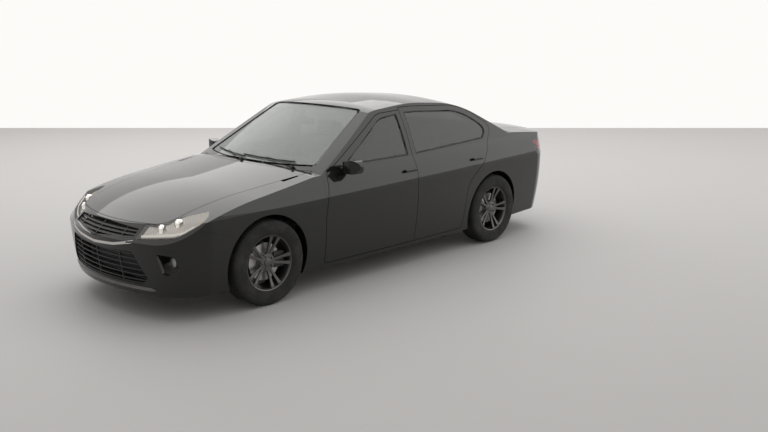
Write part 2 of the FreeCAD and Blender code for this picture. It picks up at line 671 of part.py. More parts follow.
for tool in (arch("rear", LINER_WALL), mirrored(arch("rear", LINER_WALL)), rear_seam, both_sides(box(*HOOD_SEAT))):
    floor_pan = floor_pan.cut(tool)


def without_crumbs(shape, least):
    """The solids above a least volume, which leaves out the crumbs where two curved cuts graze."""
    kept = [solid for solid in shape.Solids if solid.Volume > least]
    return kept[0] if len(kept) == 1 else Part.makeCompound(kept)



# Wheels. Left front wheel, turned about its axle
RIM_RADIUS = 216
RIM_HALF = 92
HUB_FACE_X = 45
DISC_RADIUS = 148
SPINDLE = 24
BORE_GAP = 0.3
SPOKES = 10
TYRE_PROFILE = (
    # across, radius, corner radius
    (-92, RIM_RADIUS + 0.3, 0),
    (-TYRE_WIDTH / 2, 270, 0),
    (-100, 322, 0),
    (-78, TYRE_RADIUS, 0),
    (78, TYRE_RADIUS, 0),
    (100, 322, 0),
    (TYRE_WIDTH / 2, 270, 0),
    (92, RIM_RADIUS + 0.3, 0),
)
RIM_PROFILE = (
    (-RIM_HALF, RIM_RADIUS, 0),
    (-RIM_HALF, RIM_RADIUS - 10, 0),
    (-60, RIM_RADIUS - 16, 0),
    (60, RIM_RADIUS - 16, 0),
    (RIM_HALF, RIM_RADIUS - 8, 0),
    (RIM_HALF, RIM_RADIUS, 0),
)


def turned(profile, x, y, z):
    """A profile of (across, radius, corner) turned about a wheel's axle."""
    wire = Part.Wire(rounded_edges(profile, lambda p: V(x + p.x, y, z + p.y)))
    return Part.Face(wire).revolve(V(x, y, z), V(1, 0, 0), 360)


def tyre(y):
    return turned(TYRE_PROFILE, WHEEL_CENTRE_X, y, TYRE_RADIUS)


def rim(y, spindle_inner):
    """Barrel, ten spokes, hub, brake disc and spindle as one piece."""
    x, z = WHEEL_CENTRE_X, TYRE_RADIUS
    face = x + HUB_FACE_X
    spoke_outline = [(face - 2, 40, 0), (face + 20, 40, 8), (x + RIM_HALF - 6, 206, 0), (x + RIM_HALF - 34, 206, 0)]
    spoke = prism("front", spoke_outline, -11, 11)
    spokes = []
    for i in range(SPOKES):
        copy = spoke.copy()
        pair = 8 if i % 2 else -8
        copy.rotate(V(0, 0, 0), V(1, 0, 0), 360 / SPOKES * i + pair)
        copy.translate(V(0, y, z))
        spokes.append(copy)
    hub = cylinder(68, (face - 4, y, z), (face + 20, y, z))
    hat = cylinder(78, (face - 32, y, z), (face - 4, y, z))
    disc = cylinder(DISC_RADIUS, (face - 44, y, z), (face - 22, y, z))
    spindle = cylinder(SPINDLE, (spindle_inner, y, z), (face - 30, y, z))
    return turned(RIM_PROFILE, x, y, z).multiFuse(spokes + [hub, hat, disc, spindle])


# Front knuckle, on the upright steering axis
BALL_LOW_Z = 215
BALL_HIGH_Z = 455
KNUCKLE_X0 = 700
DISC_INNER_X = WHEEL_CENTRE_X + HUB_FACE_X - 44


def knuckle():
    y, z = FRONT_AXLE_Y, TYRE_RADIUS
    upright = box(KNUCKLE_X0 + 20, STEER_AXIS_X + 18, y - 38, y + 38, BALL_LOW_Z, BALL_HIGH_Z)
    bearing = cylinder(54, (KNUCKLE_X0, y, z), (STEER_AXIS_X + 22, y, z))
    bracket = box(KNUCKLE_X0 + 20, STEER_AXIS_X + 10, y, y + 150, z - 34, z + 34)
    caliper = box(STEER_AXIS_X - 6, DISC_INNER_X + 39, y + 84, y + 176, z - 62, z + 62)
    slot = cylinder(DISC_RADIUS + 6, (DISC_INNER_X - 6, y, z), (DISC_INNER_X + 28, y, z))
    round_limit = cylinder(186, (600, y, z), (900, y, z))
    hat_room = cylinder(84, (STEER_AXIS_X + 24, y, z), (900, y, z))
    body = upright.multiFuse([bearing, bracket, caliper.common(round_limit).cut(slot)])
    for tool in (
        hat_room,
        cylinder(SPINDLE + BORE_GAP, (600, y, z), (900, y, z)),
        cylinder(10 + BORE_GAP, (STEER_AXIS_X, y, 200), (STEER_AXIS_X, y, BALL_LOW_Z + 25)),
    ):
        body = body.cut(tool)
    return body


# Front frame, suspension and engine
RAIL_X = (370, 440)
RAIL_Z = (420, 520)
TOWER_Z = 800
ARM_THICK = 24


def front_frame():
    half = []
    y = FRONT_AXLE_Y
    half.append(box(*RAIL_X, -2240, FIREWALL_Y, *RAIL_Z))
    half.append(box(RAIL_X[1] - 12, RAIL_X[1], y - 150, y + 150, RAIL_Z[0], TOWER_Z + 12))
    half.append(box(RAIL_X[1] - 12, DAMPER_X + 78, y - 78, y + 78, TOWER_Z, TOWER_Z + 12))
    half.append(box(0, 560, -2290, -2240, RAIL_Z[0] + 10, RAIL_Z[1] + 10))
    left = union(half)
    return left.fuse(mirrored(left))


def arm(points, z0, z1):
    outline = [(x, FRONT_AXLE_Y + y, r) for x, y, r in points]
    return prism("plan", outline, z0, z1)


def front_suspension():
    y = FRONT_AXLE_Y
    member = box(0, 430, y - 70, y + 70, 214, 270)
    post = box(RAIL_X[0] + 10, 430, y - 70, y + 70, 270, RAIL_Z[0])
    low = arm([(395, -150, 20), (395, 150, 20), (STEER_AXIS_X, 26, 20), (STEER_AXIS_X, -26, 20)], 190, 190 + ARM_THICK)
    link = box(395, 430, y - 70, y + 70, 196, 230)
    boss = cylinder(26, (STEER_AXIS_X, y, 188), (STEER_AXIS_X, y, BALL_LOW_Z - BORE_GAP))
    pin = cylinder(10, (STEER_AXIS_X, y, 190), (STEER_AXIS_X, y, BALL_LOW_Z + 22))
    high_z = BALL_HIGH_Z + 13
    high = arm([(RAIL_X[1] - 6, -138, 0), (RAIL_X[1] - 6, 138, 0), (STEER_AXIS_X, 20, 14), (STEER_AXIS_X, -20, 14)], high_z, high_z + 20)
    high = high.cut(arm([(RAIL_X[1] - 20, -112, 0), (RAIL_X[1] - 20, 112, 0), (690, 14, 10), (690, -14, 10)], 0, 900))
    high_boss = cylinder(22, (STEER_AXIS_X, y, BALL_HIGH_Z + BORE_GAP), (STEER_AXIS_X, y, high_z + 20))
    damper = cylinder(22, (DAMPER_X, y, 210), (DAMPER_X, y, TOWER_Z))
    rings = [cylinder(SPRING_RADIUS, (DAMPER_X, y, z), (DAMPER_X, y, z + 14)) for z in range(520, 790, 56)]
    left = union([member, post, low, link, boss, pin, high, high_boss, damper] + rings)
    left = left.cut(box(RAIL_X[0], RAIL_X[1], y - 300, y + 300, RAIL_Z[0], TOWER_Z + 20))
    return left.fuse(mirrored(left))


def engine():
    block = rounded_block(-290, 290, -1740, -1240, 300, 760, 30)
    left = box(250, RAIL_X[0], -1700, -1640, 440, 500)
    back = box(250, RAIL_X[0], -1320, -1260, 440, 500)
    return block.multiFuse([left, back, mirrored(left), mirrored(back)])


# Rear axle beam with its arms, springs and bearings
def rear_suspension():
    y, z = REAR_AXLE_Y, TYRE_RADIUS
    beam = box(0, 600, 1095, 1160, 245, 310)
    trailing = box(556, 618, 1030, y + 130, 262, 318)
    pivot = box(562, 612, 1030, 1072, 300, SEAT_PAN_Z - PLATE)
    carrier = box(570, 672, y - 40, y + 40, 275, 368)
    bearing = cylinder(52, (600, y, z), (STEER_AXIS_X - 10, y, z)).common(box(600, 800, y - 60, y + 60, 200, 372))
    springs = [cylinder(50, (560, y + 92, h), (560, y + 92, h + 12)) for h in range(318, 408, 20)]
    damper = cylinder(26, (560, y + 92, 300), (560, y + 92, TRUNK_FLOOR_Z))
    left = union([beam, trailing, pivot, carrier, bearing, damper] + springs)
    left = left.cut(cylinder(SPINDLE + BORE_GAP, (655, y, z), (800, y, z)))
    return left.fuse(mirrored(left))


def exhaust():
    pipe = cylinder(26, (120, -1180, 150), (120, 1760, 150))
    hangers = [box(105, 135, y - 20, y + 20, 160, 200).cut(BODY) for y in (-900, 0, 850)]
    muffler = rounded_block(-330, 430, 1740, 2080, 205, 345, 45)
    neck = cylinder(26, (120, 1740, 150), (120, 1900, 260))
    straps = [box(x - 15, x + 15, 1880, 1940, 330, TRUNK_FLOOR_Z) for x in (-200, 300)]
    tails = [cylinder(EXHAUST_RADIUS, (x, *EXHAUST_START), (x, *EXHAUST_END)) for x in EXHAUST_X]
    bores = [cylinder(EXHAUST_RADIUS - 4, (x, 2200, 251), (x, 2400, 235.2)) for x in EXHAUST_X]
    return union([pipe, muffler, neck] + hangers + straps + tails).cut(union(bores))


# Cabin
SEAT_X = 365
SEAT_WIDTH = 500
FLOOR_TOP = 206
WHEEL_HUB = (SEAT_X, -395, 905)
COLUMN_LEAN = 24
RING_RADIUS = 178
SEAT_BASE = [(-330, 206.3, 0), (-330, 340, 0), (60, 340, 0), (60, 206.3, 0)]
SEAT_CUSHION = [(-420, 330, 40), (-425, 480, 60), (-60, 455, 60), (110, 430, 0), (110, 320, 30)]
SEAT_BACK = [(20, 360, 40), (60, 470, 60), (232, 1050, 60), (330, 1060, 50), (190, 350, 50)]
HEADREST = [(232, 1075, 30), (262, 1205, 40), (345, 1195, 40), (325, 1075, 30)]
REAR_SEAT = [
    (600, 206, 0),
    (575, 480, 50),
    (1040, 470, 60),
    (1170, 990, 60),
    (1400, 1020, 0),
    (1290, SEAT_PAN_Z, 0),
    (SEAT_PAN_Y, SEAT_PAN_Z, 0),
    (SEAT_PAN_Y, 206, 0),
]
DASH = [(-1030, 560, 0), (-1030, 960, 0), (-800, 975, 60), (-640, 925, 60), (-640, 790, 40), (-780, 560, 60)]


def front_seats():
    half = SEAT_WIDTH / 2
    base = prism("side", SEAT_BASE, SEAT_X - half + 60, SEAT_X + half - 60)
    cushion = prism("side", SEAT_CUSHION, SEAT_X - half, SEAT_X + half)
    back = prism("side", SEAT_BACK, SEAT_X - half + 10, SEAT_X + half - 10)
    rest = prism("side", HEADREST, SEAT_X - 130, SEAT_X + 130)
    post = box(SEAT_X - 60, SEAT_X + 60, 262, 282, 1040, 1090)
    return both_sides(union([base, cushion, back, rest, post]))


def column_axis():
    lean = math.radians(COLUMN_LEAN)
    return V(0, -math.cos(lean), -math.sin(lean))


def dashboard():
    board = prism("side", DASH, -760, 760)
    console = prism("side", [(-780, 206, 0), (-780, 600, 0), (-560, 430, 60), (60, 400, 40), (60, 206, 0)], -110, 110)
    hub, axis = V(*WHEEL_HUB), column_axis()
    column = Part.makeCylinder(34, 360, hub + axis * 40, axis)
    hood = prism("side", [(-720, 900, 0), (-740, 1010, 30), (-560, 985, 30), (-590, 900, 0)], SEAT_X - 180, SEAT_X + 180)
    return union([board, console, column, hood]).common(CABIN).cut(both_sides(box(*HOOD_SEAT)))


def steering_wheel():
    hub, axis = V(*WHEEL_HUB), column_axis()
    side = axis.cross(V(1, 0, 0)).normalize()
    turn = [math.radians(45 * i + 22.5) for i in range(8)]
    section = [hub + side * (RING_RADIUS + 15 * math.cos(a)) + axis * (15 * math.sin(a)) for a in turn]
    ring = Part.Face(Part.Wire([line(section[i - 1], section[i]) for i in range(8)])).revolve(hub, axis, 360)
    boss = Part.makeCylinder(62, 50 - SEAT_GAP, hub - axis * 10, axis)
    parts = [ring, boss]
    for degrees in (0, 90, 180):
        a = math.radians(degrees)
        out = V(math.cos(a), 0, 0) + side * math.sin(a)
        across = axis.cross(out).normalize()
        foot = hub + out * 50
        corners = [foot + across * 16 - axis * 6, foot - across * 16 - axis * 6]
        corners += [c + out * 124 for c in reversed(corners)]
        face = Part.Face(Part.Wire([line(corners[i - 1], corners[i]) for i in range(4)]))
        parts.append(face.extrude(axis * 14))
    return union(parts)


# Outside mirror: an outline seen from the front cut with one seen from above
MIRROR_FRONT = [(872, 938, 28), (866, 1030, 40), (1022, 1052, 50), (1040, 985, 50), (1010, 936, 34)]
MIRROR_PLAN = [(866, -610, 14), (1032, -598, 14), (1044, -640, 60), (985, -700, 70), (870, -712, 40)]
MIRROR_ARM = [(800, 948, 0), (800, 978, 0), (900, 972, 0), (900, 948, 0)]


def mirror():
    shell = prism("front", MIRROR_FRONT, -800, -500).common(prism("plan", MIRROR_PLAN, 900, 1100))
    glass_room = prism("front", grown(MIRROR_FRONT, -9), -800, -500).common(
        prism("plan", [(800, -604, 0), (1100, -594, 0), (1100, -550, 0), (800, -550, 0)], 900, 1100)
    )
    foot = prism("front", MIRROR_ARM, -690, -625)
    return shell.cut(glass_room).fuse(foot).cut(DOOR_BODY["front"]).cut(side_form(-1, -1))


DOOR_BODY = {which: door(which) for which in ("front", "rear")}

# Jack pads under the sills
PAD_Y = (-780, 780)
PAD_X = 790
PAD_Z = 168
PAD_RADIUS = 28
pads = [cylinder(PAD_RADIUS, (PAD_X, y, PAD_Z), (PAD_X, y, 190)) for y in PAD_Y]
body_side = body_side.multiFuse(pads)

# Every node: left pieces are modelled and the right ones are their mirror images
fender = without_crumbs(fender, 1e5).fuse(liner("front"))
NODES = {
    "body_side": body_side,
    "roof_panel": roof,
    "cowl": cowl,
    "rear_shelf": shelf,
    "floor_pan": without_crumbs(floor_pan, 1e5),
    "front_bumper": without_crumbs(front_bumper, 1e5),
    "rear_bumper": without_crumbs(rear_bumper, 1e5),
    "fenders": both_sides(fender),
    "headlamps": both_sides(headlamp),
    "tail_lamps": both_sides(tail_lamp),
    "grilles": grilles,
    "windscreen": windscreen,
    "rear_window": rear_window,
    "hood": hood,
    "trunk_lid": trunk_lid,
    "front_frame": front_frame(),
    "front_suspension": front_suspension(),
    "rear_suspension": rear_suspension(),
    "engine": engine(),
    "exhaust": exhaust(),
    "front_seats": front_seats(),
    "rear_seat": prism("side", REAR_SEAT, -600, 600).common(CABIN),
    "dashboard": dashboard(),
    "steering_wheel": steering_wheel(),
    "door_front": DOOR_BODY["front"],
    "door_rear": DOOR_BODY["rear"],
    "glass_front": door_glass("front"),
    "glass_rear": door_glass("rear"),
    "mirror": mirror(),
    "knuckle": knuckle(),
    "tyre_front": tyre(FRONT_AXLE_Y),
    "tyre_rear": tyre(REAR_AXLE_Y),
    "rim_front": rim(FRONT_AXLE_Y, KNUCKLE_X0 + 4),
    "rim_rear": rim(REAR_AXLE_Y, 660),
}
PAIRED = [
    "body_side", "door_front", "door_rear", "glass_front", "glass_rear", "mirror", "knuckle",
    "tyre_front", "tyre_rear", "rim_front", "rim_rear",
]
for name in PAIRED:
    shape = NODES.pop(name)
    NODES[f"{name}_left"] = shape
    NODES[f"{name}_right"] = mirrored(shape)

os.makedirs("parts", exist_ok=True)
for name, shape in NODES.items():
    print(name, shape.isValid(), len(shape.Solids), len(shape.Faces), round(shape.Volume / 1e6, 2), flush=True)
    shape.exportStep(f"parts/{name}.step")
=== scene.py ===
"""Finishes and fine detail of a four-door sedan around its solid parts.

Sizes are in metres. The nose points to -Y and the car's left side to +X.
"""

import json
import math

import bmesh
import bpy
from bpy.props import FloatProperty, FloatVectorProperty, IntProperty, PointerProperty
from mathutils import Matrix, Vector

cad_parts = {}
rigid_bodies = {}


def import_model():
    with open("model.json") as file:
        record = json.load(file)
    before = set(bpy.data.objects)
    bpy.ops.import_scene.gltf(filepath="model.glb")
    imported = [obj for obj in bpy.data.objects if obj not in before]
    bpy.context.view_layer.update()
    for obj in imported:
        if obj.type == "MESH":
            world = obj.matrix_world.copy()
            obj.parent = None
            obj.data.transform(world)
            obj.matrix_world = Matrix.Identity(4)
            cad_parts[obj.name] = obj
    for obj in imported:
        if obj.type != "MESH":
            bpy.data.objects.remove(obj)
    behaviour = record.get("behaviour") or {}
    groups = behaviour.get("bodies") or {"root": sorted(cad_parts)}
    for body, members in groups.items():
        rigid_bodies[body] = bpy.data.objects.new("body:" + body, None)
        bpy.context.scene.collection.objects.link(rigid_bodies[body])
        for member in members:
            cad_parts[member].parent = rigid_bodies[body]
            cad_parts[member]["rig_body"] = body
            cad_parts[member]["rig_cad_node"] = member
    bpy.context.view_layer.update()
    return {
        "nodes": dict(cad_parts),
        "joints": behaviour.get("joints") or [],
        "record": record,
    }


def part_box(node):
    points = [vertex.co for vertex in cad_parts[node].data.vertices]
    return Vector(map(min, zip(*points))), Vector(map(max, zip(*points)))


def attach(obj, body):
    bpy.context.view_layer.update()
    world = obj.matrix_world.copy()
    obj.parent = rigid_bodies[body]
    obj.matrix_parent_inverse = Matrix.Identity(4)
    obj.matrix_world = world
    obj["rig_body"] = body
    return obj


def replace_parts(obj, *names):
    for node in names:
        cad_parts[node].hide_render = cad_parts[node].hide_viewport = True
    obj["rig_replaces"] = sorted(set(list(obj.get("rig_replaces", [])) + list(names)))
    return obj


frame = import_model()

bl_info = {
    "name": "Sedan car detail",
    "version": (1, 0, 0),
    "blender": (4, 5, 0),
    "location": "3D View > Sidebar > Sedan",
    "description": "Builds the tyres, wheels, lamps, trim, cabin and stage of a sedan car",
    "category": "Object",
}

# Sides, wheels and the places that outlines are pressed from
SIDES = {"left": 1, "right": -1}
WHEELS = {
    "front_left": ("wheel_fl", 1),
    "front_right": ("wheel_fr", -1),
    "rear_left": ("wheel_rl", 1),
    "rear_right": ("wheel_rr", -1),
}
BEFORE_NOSE = -3.0
SEEN_FROM = {"front": ("Y", BEFORE_NOSE), "rear": ("Y", 3.0), "cabin": ("X", 0.3)}

# Modelling
SMOOTH_ANGLE = 35
BEVEL_ANGLE = 30
MERGE_DISTANCE = 0.00001
COPY_MERGE_DISTANCE = 0.00002
RING_MERGE_DISTANCE = 0.0001
SKIN_GAP = 0.0004
NET_STEP = 0.03
CARD_STEP = 0.06
SCAN_STEP = 0.003
OUTER_FACE = 0.35

# Tyres and wheels
TREAD_PITCHES = 64
CUT_SHARE = 0.14
BLOCK_SHARE = 0.43
CUT_DEPTH_SHARE = 0.8
SHOULDER_RADIUS = 0.3262
MIDDLE_RIB = 0.0225
SPOKE_FACE = 0.045
SPOKE_LEAN = 10
SPOKE_TURN = 54
VALVE_TURN = 18
BOLTS = 5

# Lamps and trim
LAMP_LOW = 0.55
LAMP_HIGH = 0.85
REFLECTOR_DEPTH = 0.045
AMBER_FROM = 0.795
BAND_DEPTH_SHARE = 0.4
FOG_LAMP_X = 0.710
FOG_LAMP_Z = 0.452
TRAY_Z = 0.224
TRAY_BACK = -1.98
TRAY_HALF = 0.64

# Seats
SEAT_X = 0.365
SEAT_HALF = 0.245
SEAT_LEAN = -16
BENCH_LEAN = -13

# Camera at the photograph's angle, floor and light
CAMERA_SPOT = (5.965, -5.433, 2.125)
CAMERA_YAW = 44.26
CAMERA_PITCH = 12.54
CAMERA_FOCAL_PIXELS = 868.6
PICTURE_WIDTH = 768
SENSOR_WIDTH = 36
FLOOR_END = 17.95
FLOOR_SIZE = 60.0
# Painted light: the floor's colour is darker near the camera and paler far away, standing in for how the
# room's light falls on it
FLOOR_NEAR_PAINTED_SHADE = 1.04
FLOOR_FAR_PAINTED_LIGHT = 1.45
ROOM_LIGHT = 0.55
LIT_SPOT = (0, 0, 0.5)
# Name, place, diameter and power of each soft light
SOFT_LIGHTS = (
    ("roof_light", (-3.0, 1.6, 8.0), 16, 600),
    ("side_light", (11.0, 12.0, 6.5), 18, 580),
)


def middle(node):
    low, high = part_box(node)
    return (low + high) / 2


def top_of(node):
    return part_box(node)[1]


HUB = middle("tyre_front_left")
TYRE_RADIUS = (top_of("tyre_front_left").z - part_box("tyre_front_left")[0].z) / 2


# Sizes and colours that a user would change
class SedanSizes(bpy.types.PropertyGroup):
    groove_depth: FloatProperty(
        name="Groove depth",
        description="Depth of the tyre's grooves",
        default=0.007,
        unit="LENGTH",
    )
    seal_width: FloatProperty(
        name="Seal width",
        description="Width of the rubber round the side windows",
        default=0.012,
        unit="LENGTH",
    )
    frit_width: FloatProperty(
        name="Border width",
        description="Width of the black border of the screens",
        default=0.024,
        unit="LENGTH",
    )
    trim_depth: FloatProperty(
        name="Trim depth",
        description="How far applied trim stands off the skin",
        default=0.003,
        unit="LENGTH",
    )
    spoke_pairs: IntProperty(
        name="Spoke pairs",
        description="Number of twin spokes",
        default=5,
        min=3,
        max=8,
    )


class SedanColours(bpy.types.PropertyGroup):
    paint: FloatVectorProperty(
        name="Paint",
        description="Colour of the body",
        subtype="COLOR",
        default=(0.0045, 0.0045, 0.0043),
    )
    screen: FloatVectorProperty(
        name="Glass",
        description="Tint of the windows",
        subtype="COLOR",
        default=(0.25, 0.285, 0.26),
    )
    alloy: FloatVectorProperty(
        name="Alloy",
        description="Colour of the wheels",
        subtype="COLOR",
        default=(0.085, 0.082, 0.081),
    )
    cloth: FloatVectorProperty(
        name="Cloth",
        description="Colour of the seats",
        subtype="COLOR",
        default=(0.05, 0.048, 0.045),
    )
    floor: FloatVectorProperty(
        name="Floor",
        description="Colour of the floor",
        subtype="COLOR",
        default=(0.44, 0.43, 0.425),
    )
    backdrop: FloatVectorProperty(
        name="Backdrop",
        description="Colour behind the car",
        subtype="COLOR",
        default=(0.985, 0.965, 0.945),
    )


# Shader expressions
class Value:
    """A socket that takes part in plain expressions."""

    def __init__(self, tree, socket):
        self.tree, self.socket = tree, socket

    def math(self, operation, *others):
        return add_node(self.tree, "ShaderNodeMath", {"operation": operation}, dict(enumerate(others)))

    def __add__(self, other):
        return self.math("ADD", self, other)

    __radd__ = __add__

    def __sub__(self, other):
        return self.math("SUBTRACT", self, other)

    def __rsub__(self, other):
        return self.math("SUBTRACT", other, self)

    def __mul__(self, other):
        return self.math("MULTIPLY", self, other)

    __rmul__ = __mul__

    def __truediv__(self, other):
        return self.math("DIVIDE", self, other)

    def at_most(self, limit):
        return self.math("MINIMUM", self, limit)

    def absolute(self):
        return self.math("ABSOLUTE", self)

    def wave(self, period):
        """A triangle wave from 0 to 1 over a period."""
        return self.math("PINGPONG", self / (period / 2), 1.0)

    def smooth(self, low, high):
        """A soft step from 0 at low to 1 at high."""
        settings = {"interpolation_type": "SMOOTHSTEP"}
        inputs = {"Value": self, "From Min": low, "From Max": high}
        return add_node(self.tree, "ShaderNodeMapRange", settings, inputs, "Result")


def connect(tree, slot, value):
    """Links an expression to a socket, or writes a constant into it."""
    if isinstance(value, Value):
        tree.links.new(value.socket, slot)
    else:
        slot.default_value = (*value, 1) if slot.type == "RGBA" else value


def add_node(tree, kind, settings=None, inputs=None, output=0):
    """One output of a new node, after its settings and the values or links of its sockets."""
    node = tree.nodes.new(kind)
    for key, value in (settings or {}).items():
        setattr(node, key, value)
    for key, value in (inputs or {}).items():
        connect(tree, node.inputs[key], value)
    return Value(tree, node.outputs[output])


class Finish:
    """A material under one name, built from a Principled shader and plain expressions."""

    made = {}

    def __init__(self, name, **sockets):
        self.material = bpy.data.materials.new(name)
        self.material.use_nodes = True
        self.tree = self.material.node_tree
        self.shader = self.tree.nodes["Principled BSDF"]
        Finish.made[name] = self.material
        self.set(**sockets)

    def set(self, **sockets):
        for key, value in sockets.items():
            name = key.replace("_", " ").title().replace("Ior", "IOR")
            connect(self.tree, self.shader.inputs[name], value)

    def place(self):
        return add_node(self.tree, "ShaderNodeTexCoord", output="Object")

    def axes(self, source=None):
        """The three parts of a vector, by default of the place on the object."""
        split = add_node(self.tree, "ShaderNodeSeparateXYZ", inputs={"Vector": source or self.place()})
        return [Value(self.tree, out) for out in split.socket.node.outputs]

    def facing(self):
        return self.axes(add_node(self.tree, "ShaderNodeNewGeometry", output="Normal"))

    def noise(self, scale, detail=2.0, roughness=0.5):
        inputs = {"Vector": self.place(), "Scale": scale, "Detail": detail, "Roughness": roughness}
        return add_node(self.tree, "ShaderNodeTexNoise", inputs=inputs)

    def cells(self, scale):
        inputs = {"Vector": self.place(), "Scale": scale}
        return add_node(self.tree, "ShaderNodeTexVoronoi", inputs=inputs, output="Distance")

    def blend(self, amount, first, second):
        inputs = {0: amount, 6: first, 7: second}
        return add_node(self.tree, "ShaderNodeMix", {"data_type": "RGBA"}, inputs, 2)

    def bump(self, height, distance, strength):
        inputs = {"Height": height, "Distance": distance, "Strength": strength}
        return add_node(self.tree, "ShaderNodeBump", inputs=inputs)


def shade(colour, factor):
    return tuple(min(1.0, c * factor) for c in colour)


def mix(first, second, share):
    return tuple(a * (1 - share) + b * share for a, b in zip(first, second))


# Finishes
def paint_finish(colour):
    """Near-black paint with fine flakes, faint clouds and a little dust on top."""
    paint = Finish(
        "charcoal_paint", coat_weight=0.86, coat_roughness=0.03, coat_ior=1.52, specular_ior_level=0.08
    )
    flake = paint.cells(1800)
    cloud = paint.noise(1.3, 3)
    dust = paint.noise(26, 4) * paint.facing()[2].smooth(0.2, 0.95)
    amount = cloud.smooth(0.3, 0.7) * 0.5 + dust * 0.3
    paint.set(base_color=paint.blend(amount, shade(colour, 0.8), shade(colour, 1.5)))
    paint.set(roughness=0.38 + cloud * 0.08 + flake * 0.05, normal=paint.bump(flake, 0.00012, 0.25))


def glass_finish(name, dark, pale, roughness, cover, haze_cover):
    """Tinted glass with a faint haze, part of which lets the cabin show."""
    glass = Finish(
        name, ior=1.5, roughness=roughness, specular_ior_level=0.6, coat_weight=0.4, coat_roughness=0.02
    )
    haze = glass.noise(2.2, 3)
    glass.set(base_color=glass.blend(haze, dark, pale), alpha=cover + haze * haze_cover)


def headlamp_finishes():
    """A clear outer lens on a dark housing, and the ribbed bowl behind it, which glows with painted light."""
    lens = Finish(
        "clear_lens", ior=1.49, roughness=0.03, specular_ior_level=0.7, coat_weight=0.6, coat_roughness=0.02
    )
    nx, ny, nz = lens.facing()
    x, y, z = lens.axes()
    forward = (nx.absolute() * 0.45 - ny * 0.8 + nz * 0.35).smooth(0.1, 0.35)
    ribs = (y + x.absolute() * 0.6).wave(0.012)
    lens.set(base_color=lens.blend(forward, (0.018, 0.018, 0.019), (0.92, 0.90, 0.86)))
    lens.set(alpha=1 - forward * 0.86, normal=lens.bump(ribs * (1 - forward), 0.002, 0.5))

    # Painted light: the bowl's glow stands in for the light that it would reflect, and its amber end glows
    # too
    bowl = Finish("reflector_painted_glow", coat_weight=0.6, coat_roughness=0.1, emission_strength=0.35)
    x, y, z = bowl.axes()
    ribs = (y + x.absolute() * 0.6).wave(0.014)
    amber = (x.absolute() - AMBER_FROM).smooth(0.0, 0.015)
    silver = bowl.blend(ribs, (0.80, 0.74, 0.67), (0.96, 0.90, 0.82))
    shine = bowl.blend(amber, silver, (0.92, 0.48, 0.16))
    bowl.set(base_color=shine, emission_color=shine)
    bowl.set(roughness=0.22 + ribs * 0.1, normal=bowl.bump(ribs, 0.002, 0.5))

    glow = Finish("lamp_glow", roughness=0.3, emission_strength=0.55)
    shine = glow.noise(20, 2)
    glow.set(base_color=glow.blend(shine, (0.93, 0.91, 0.86), (1.0, 0.98, 0.94)))
    glow.set(emission_color=glow.blend(shine, (0.9, 0.87, 0.8), (1.0, 0.97, 0.9)))

    fog = Finish("fog_glass", coat_weight=0.8, coat_roughness=0.04)
    rings = fog.noise(90, 2)
    fog.set(base_color=fog.blend(rings, (0.28, 0.29, 0.29), (0.46, 0.47, 0.46)))
    fog.set(roughness=0.18 + rings * 0.1)


def tail_lamp_finish():
    """A red ribbed lens with a pale band for the reversing lamp."""
    lens = Finish(
        "red_lens", ior=1.49, roughness=0.05, specular_ior_level=0.7, coat_weight=0.7, coat_roughness=0.02
    )
    nx, ny, nz = lens.facing()
    x, y, z = lens.axes()
    backward = (ny * 0.8 + nx.absolute() * 0.5 + nz * 0.2).smooth(0.1, 0.35)
    ribs = x.absolute().wave(0.016) * z.wave(0.016)
    band = (z - 0.865).absolute().smooth(0.022, 0.016) * (x.absolute() - 0.72).smooth(0.02, 0.0)
    red = lens.blend(ribs, (0.26, 0.008, 0.008), (0.55, 0.02, 0.016))
    lens.set(base_color=lens.blend(band, red, (0.70, 0.62, 0.60)))
    lens.set(alpha=1 - backward * 0.35, normal=lens.bump(ribs, 0.001, 0.4))


def plastic_finish(name, colour, roughness, grain=420, depth=0.00025):
    """Moulded plastic with pores and paler wear."""
    plastic = Finish(name)
    pores = plastic.noise(grain, 3, 0.6)
    wear = plastic.noise(5, 4).smooth(0.35, 0.75)
    plastic.set(base_color=plastic.blend(wear, colour, mix(colour, (0.12, 0.12, 0.12), 0.10)))
    plastic.set(roughness=roughness + pores * 0.14, normal=plastic.bump(pores, depth, 0.6))


def metal_finish(name, colour, roughness, scale, metallic=0.95, depth=0.0004):
    """Cast, rolled or coated metal with a grain and brown stains."""
    metal = Finish(name, metallic=metallic)
    grain = metal.noise(scale, 4, 0.6)
    stain = metal.noise(6, 4, 0.6).smooth(0.4, 0.75)
    metal.set(base_color=metal.blend(stain, colour, mix(colour, (0.09, 0.06, 0.04), 0.35)))
    metal.set(roughness=roughness + grain * 0.2, normal=metal.bump(grain, depth, 0.5))


def wheel_finishes(alloy):
    """Dusty rubber and painted alloy with brake dust."""
    rubber = Finish("tyre_rubber", specular_ior_level=0.35)
    dust = rubber.noise(9, 5, 0.6).smooth(0.42, 0.8) * 0.55
    fine = rubber.noise(700, 2)
    rubber.set(base_color=rubber.blend(dust, (0.013, 0.013, 0.013), (0.055, 0.052, 0.048)))
    rubber.set(roughness=0.72 + fine * 0.2, normal=rubber.bump(fine, 0.0003, 0.5))

    rim = Finish("alloy_rim", metallic=0.85, coat_weight=0.5, coat_roughness=0.12)
    dust = rim.noise(14, 4, 0.6)
    amount = dust.smooth(0.4, 0.75) * 0.5
    rim.set(base_color=rim.blend(amount, alloy, mix(alloy, (0.09, 0.075, 0.065), 0.6)))
    rim.set(roughness=0.28 + dust * 0.22, normal=rim.bump(rim.noise(500, 2), 0.0001, 0.3))


def mirror_finish(name, dark, pale, scale, roughness, smudge_roughness, coat_weight=0.0):
    """Polished metal with faint smudges."""
    mirror = Finish(name, metallic=1.0, coat_weight=coat_weight)
    smudge = mirror.noise(scale, 3)
    mirror.set(base_color=mirror.blend(smudge, dark, pale), roughness=roughness + smudge * smudge_roughness)


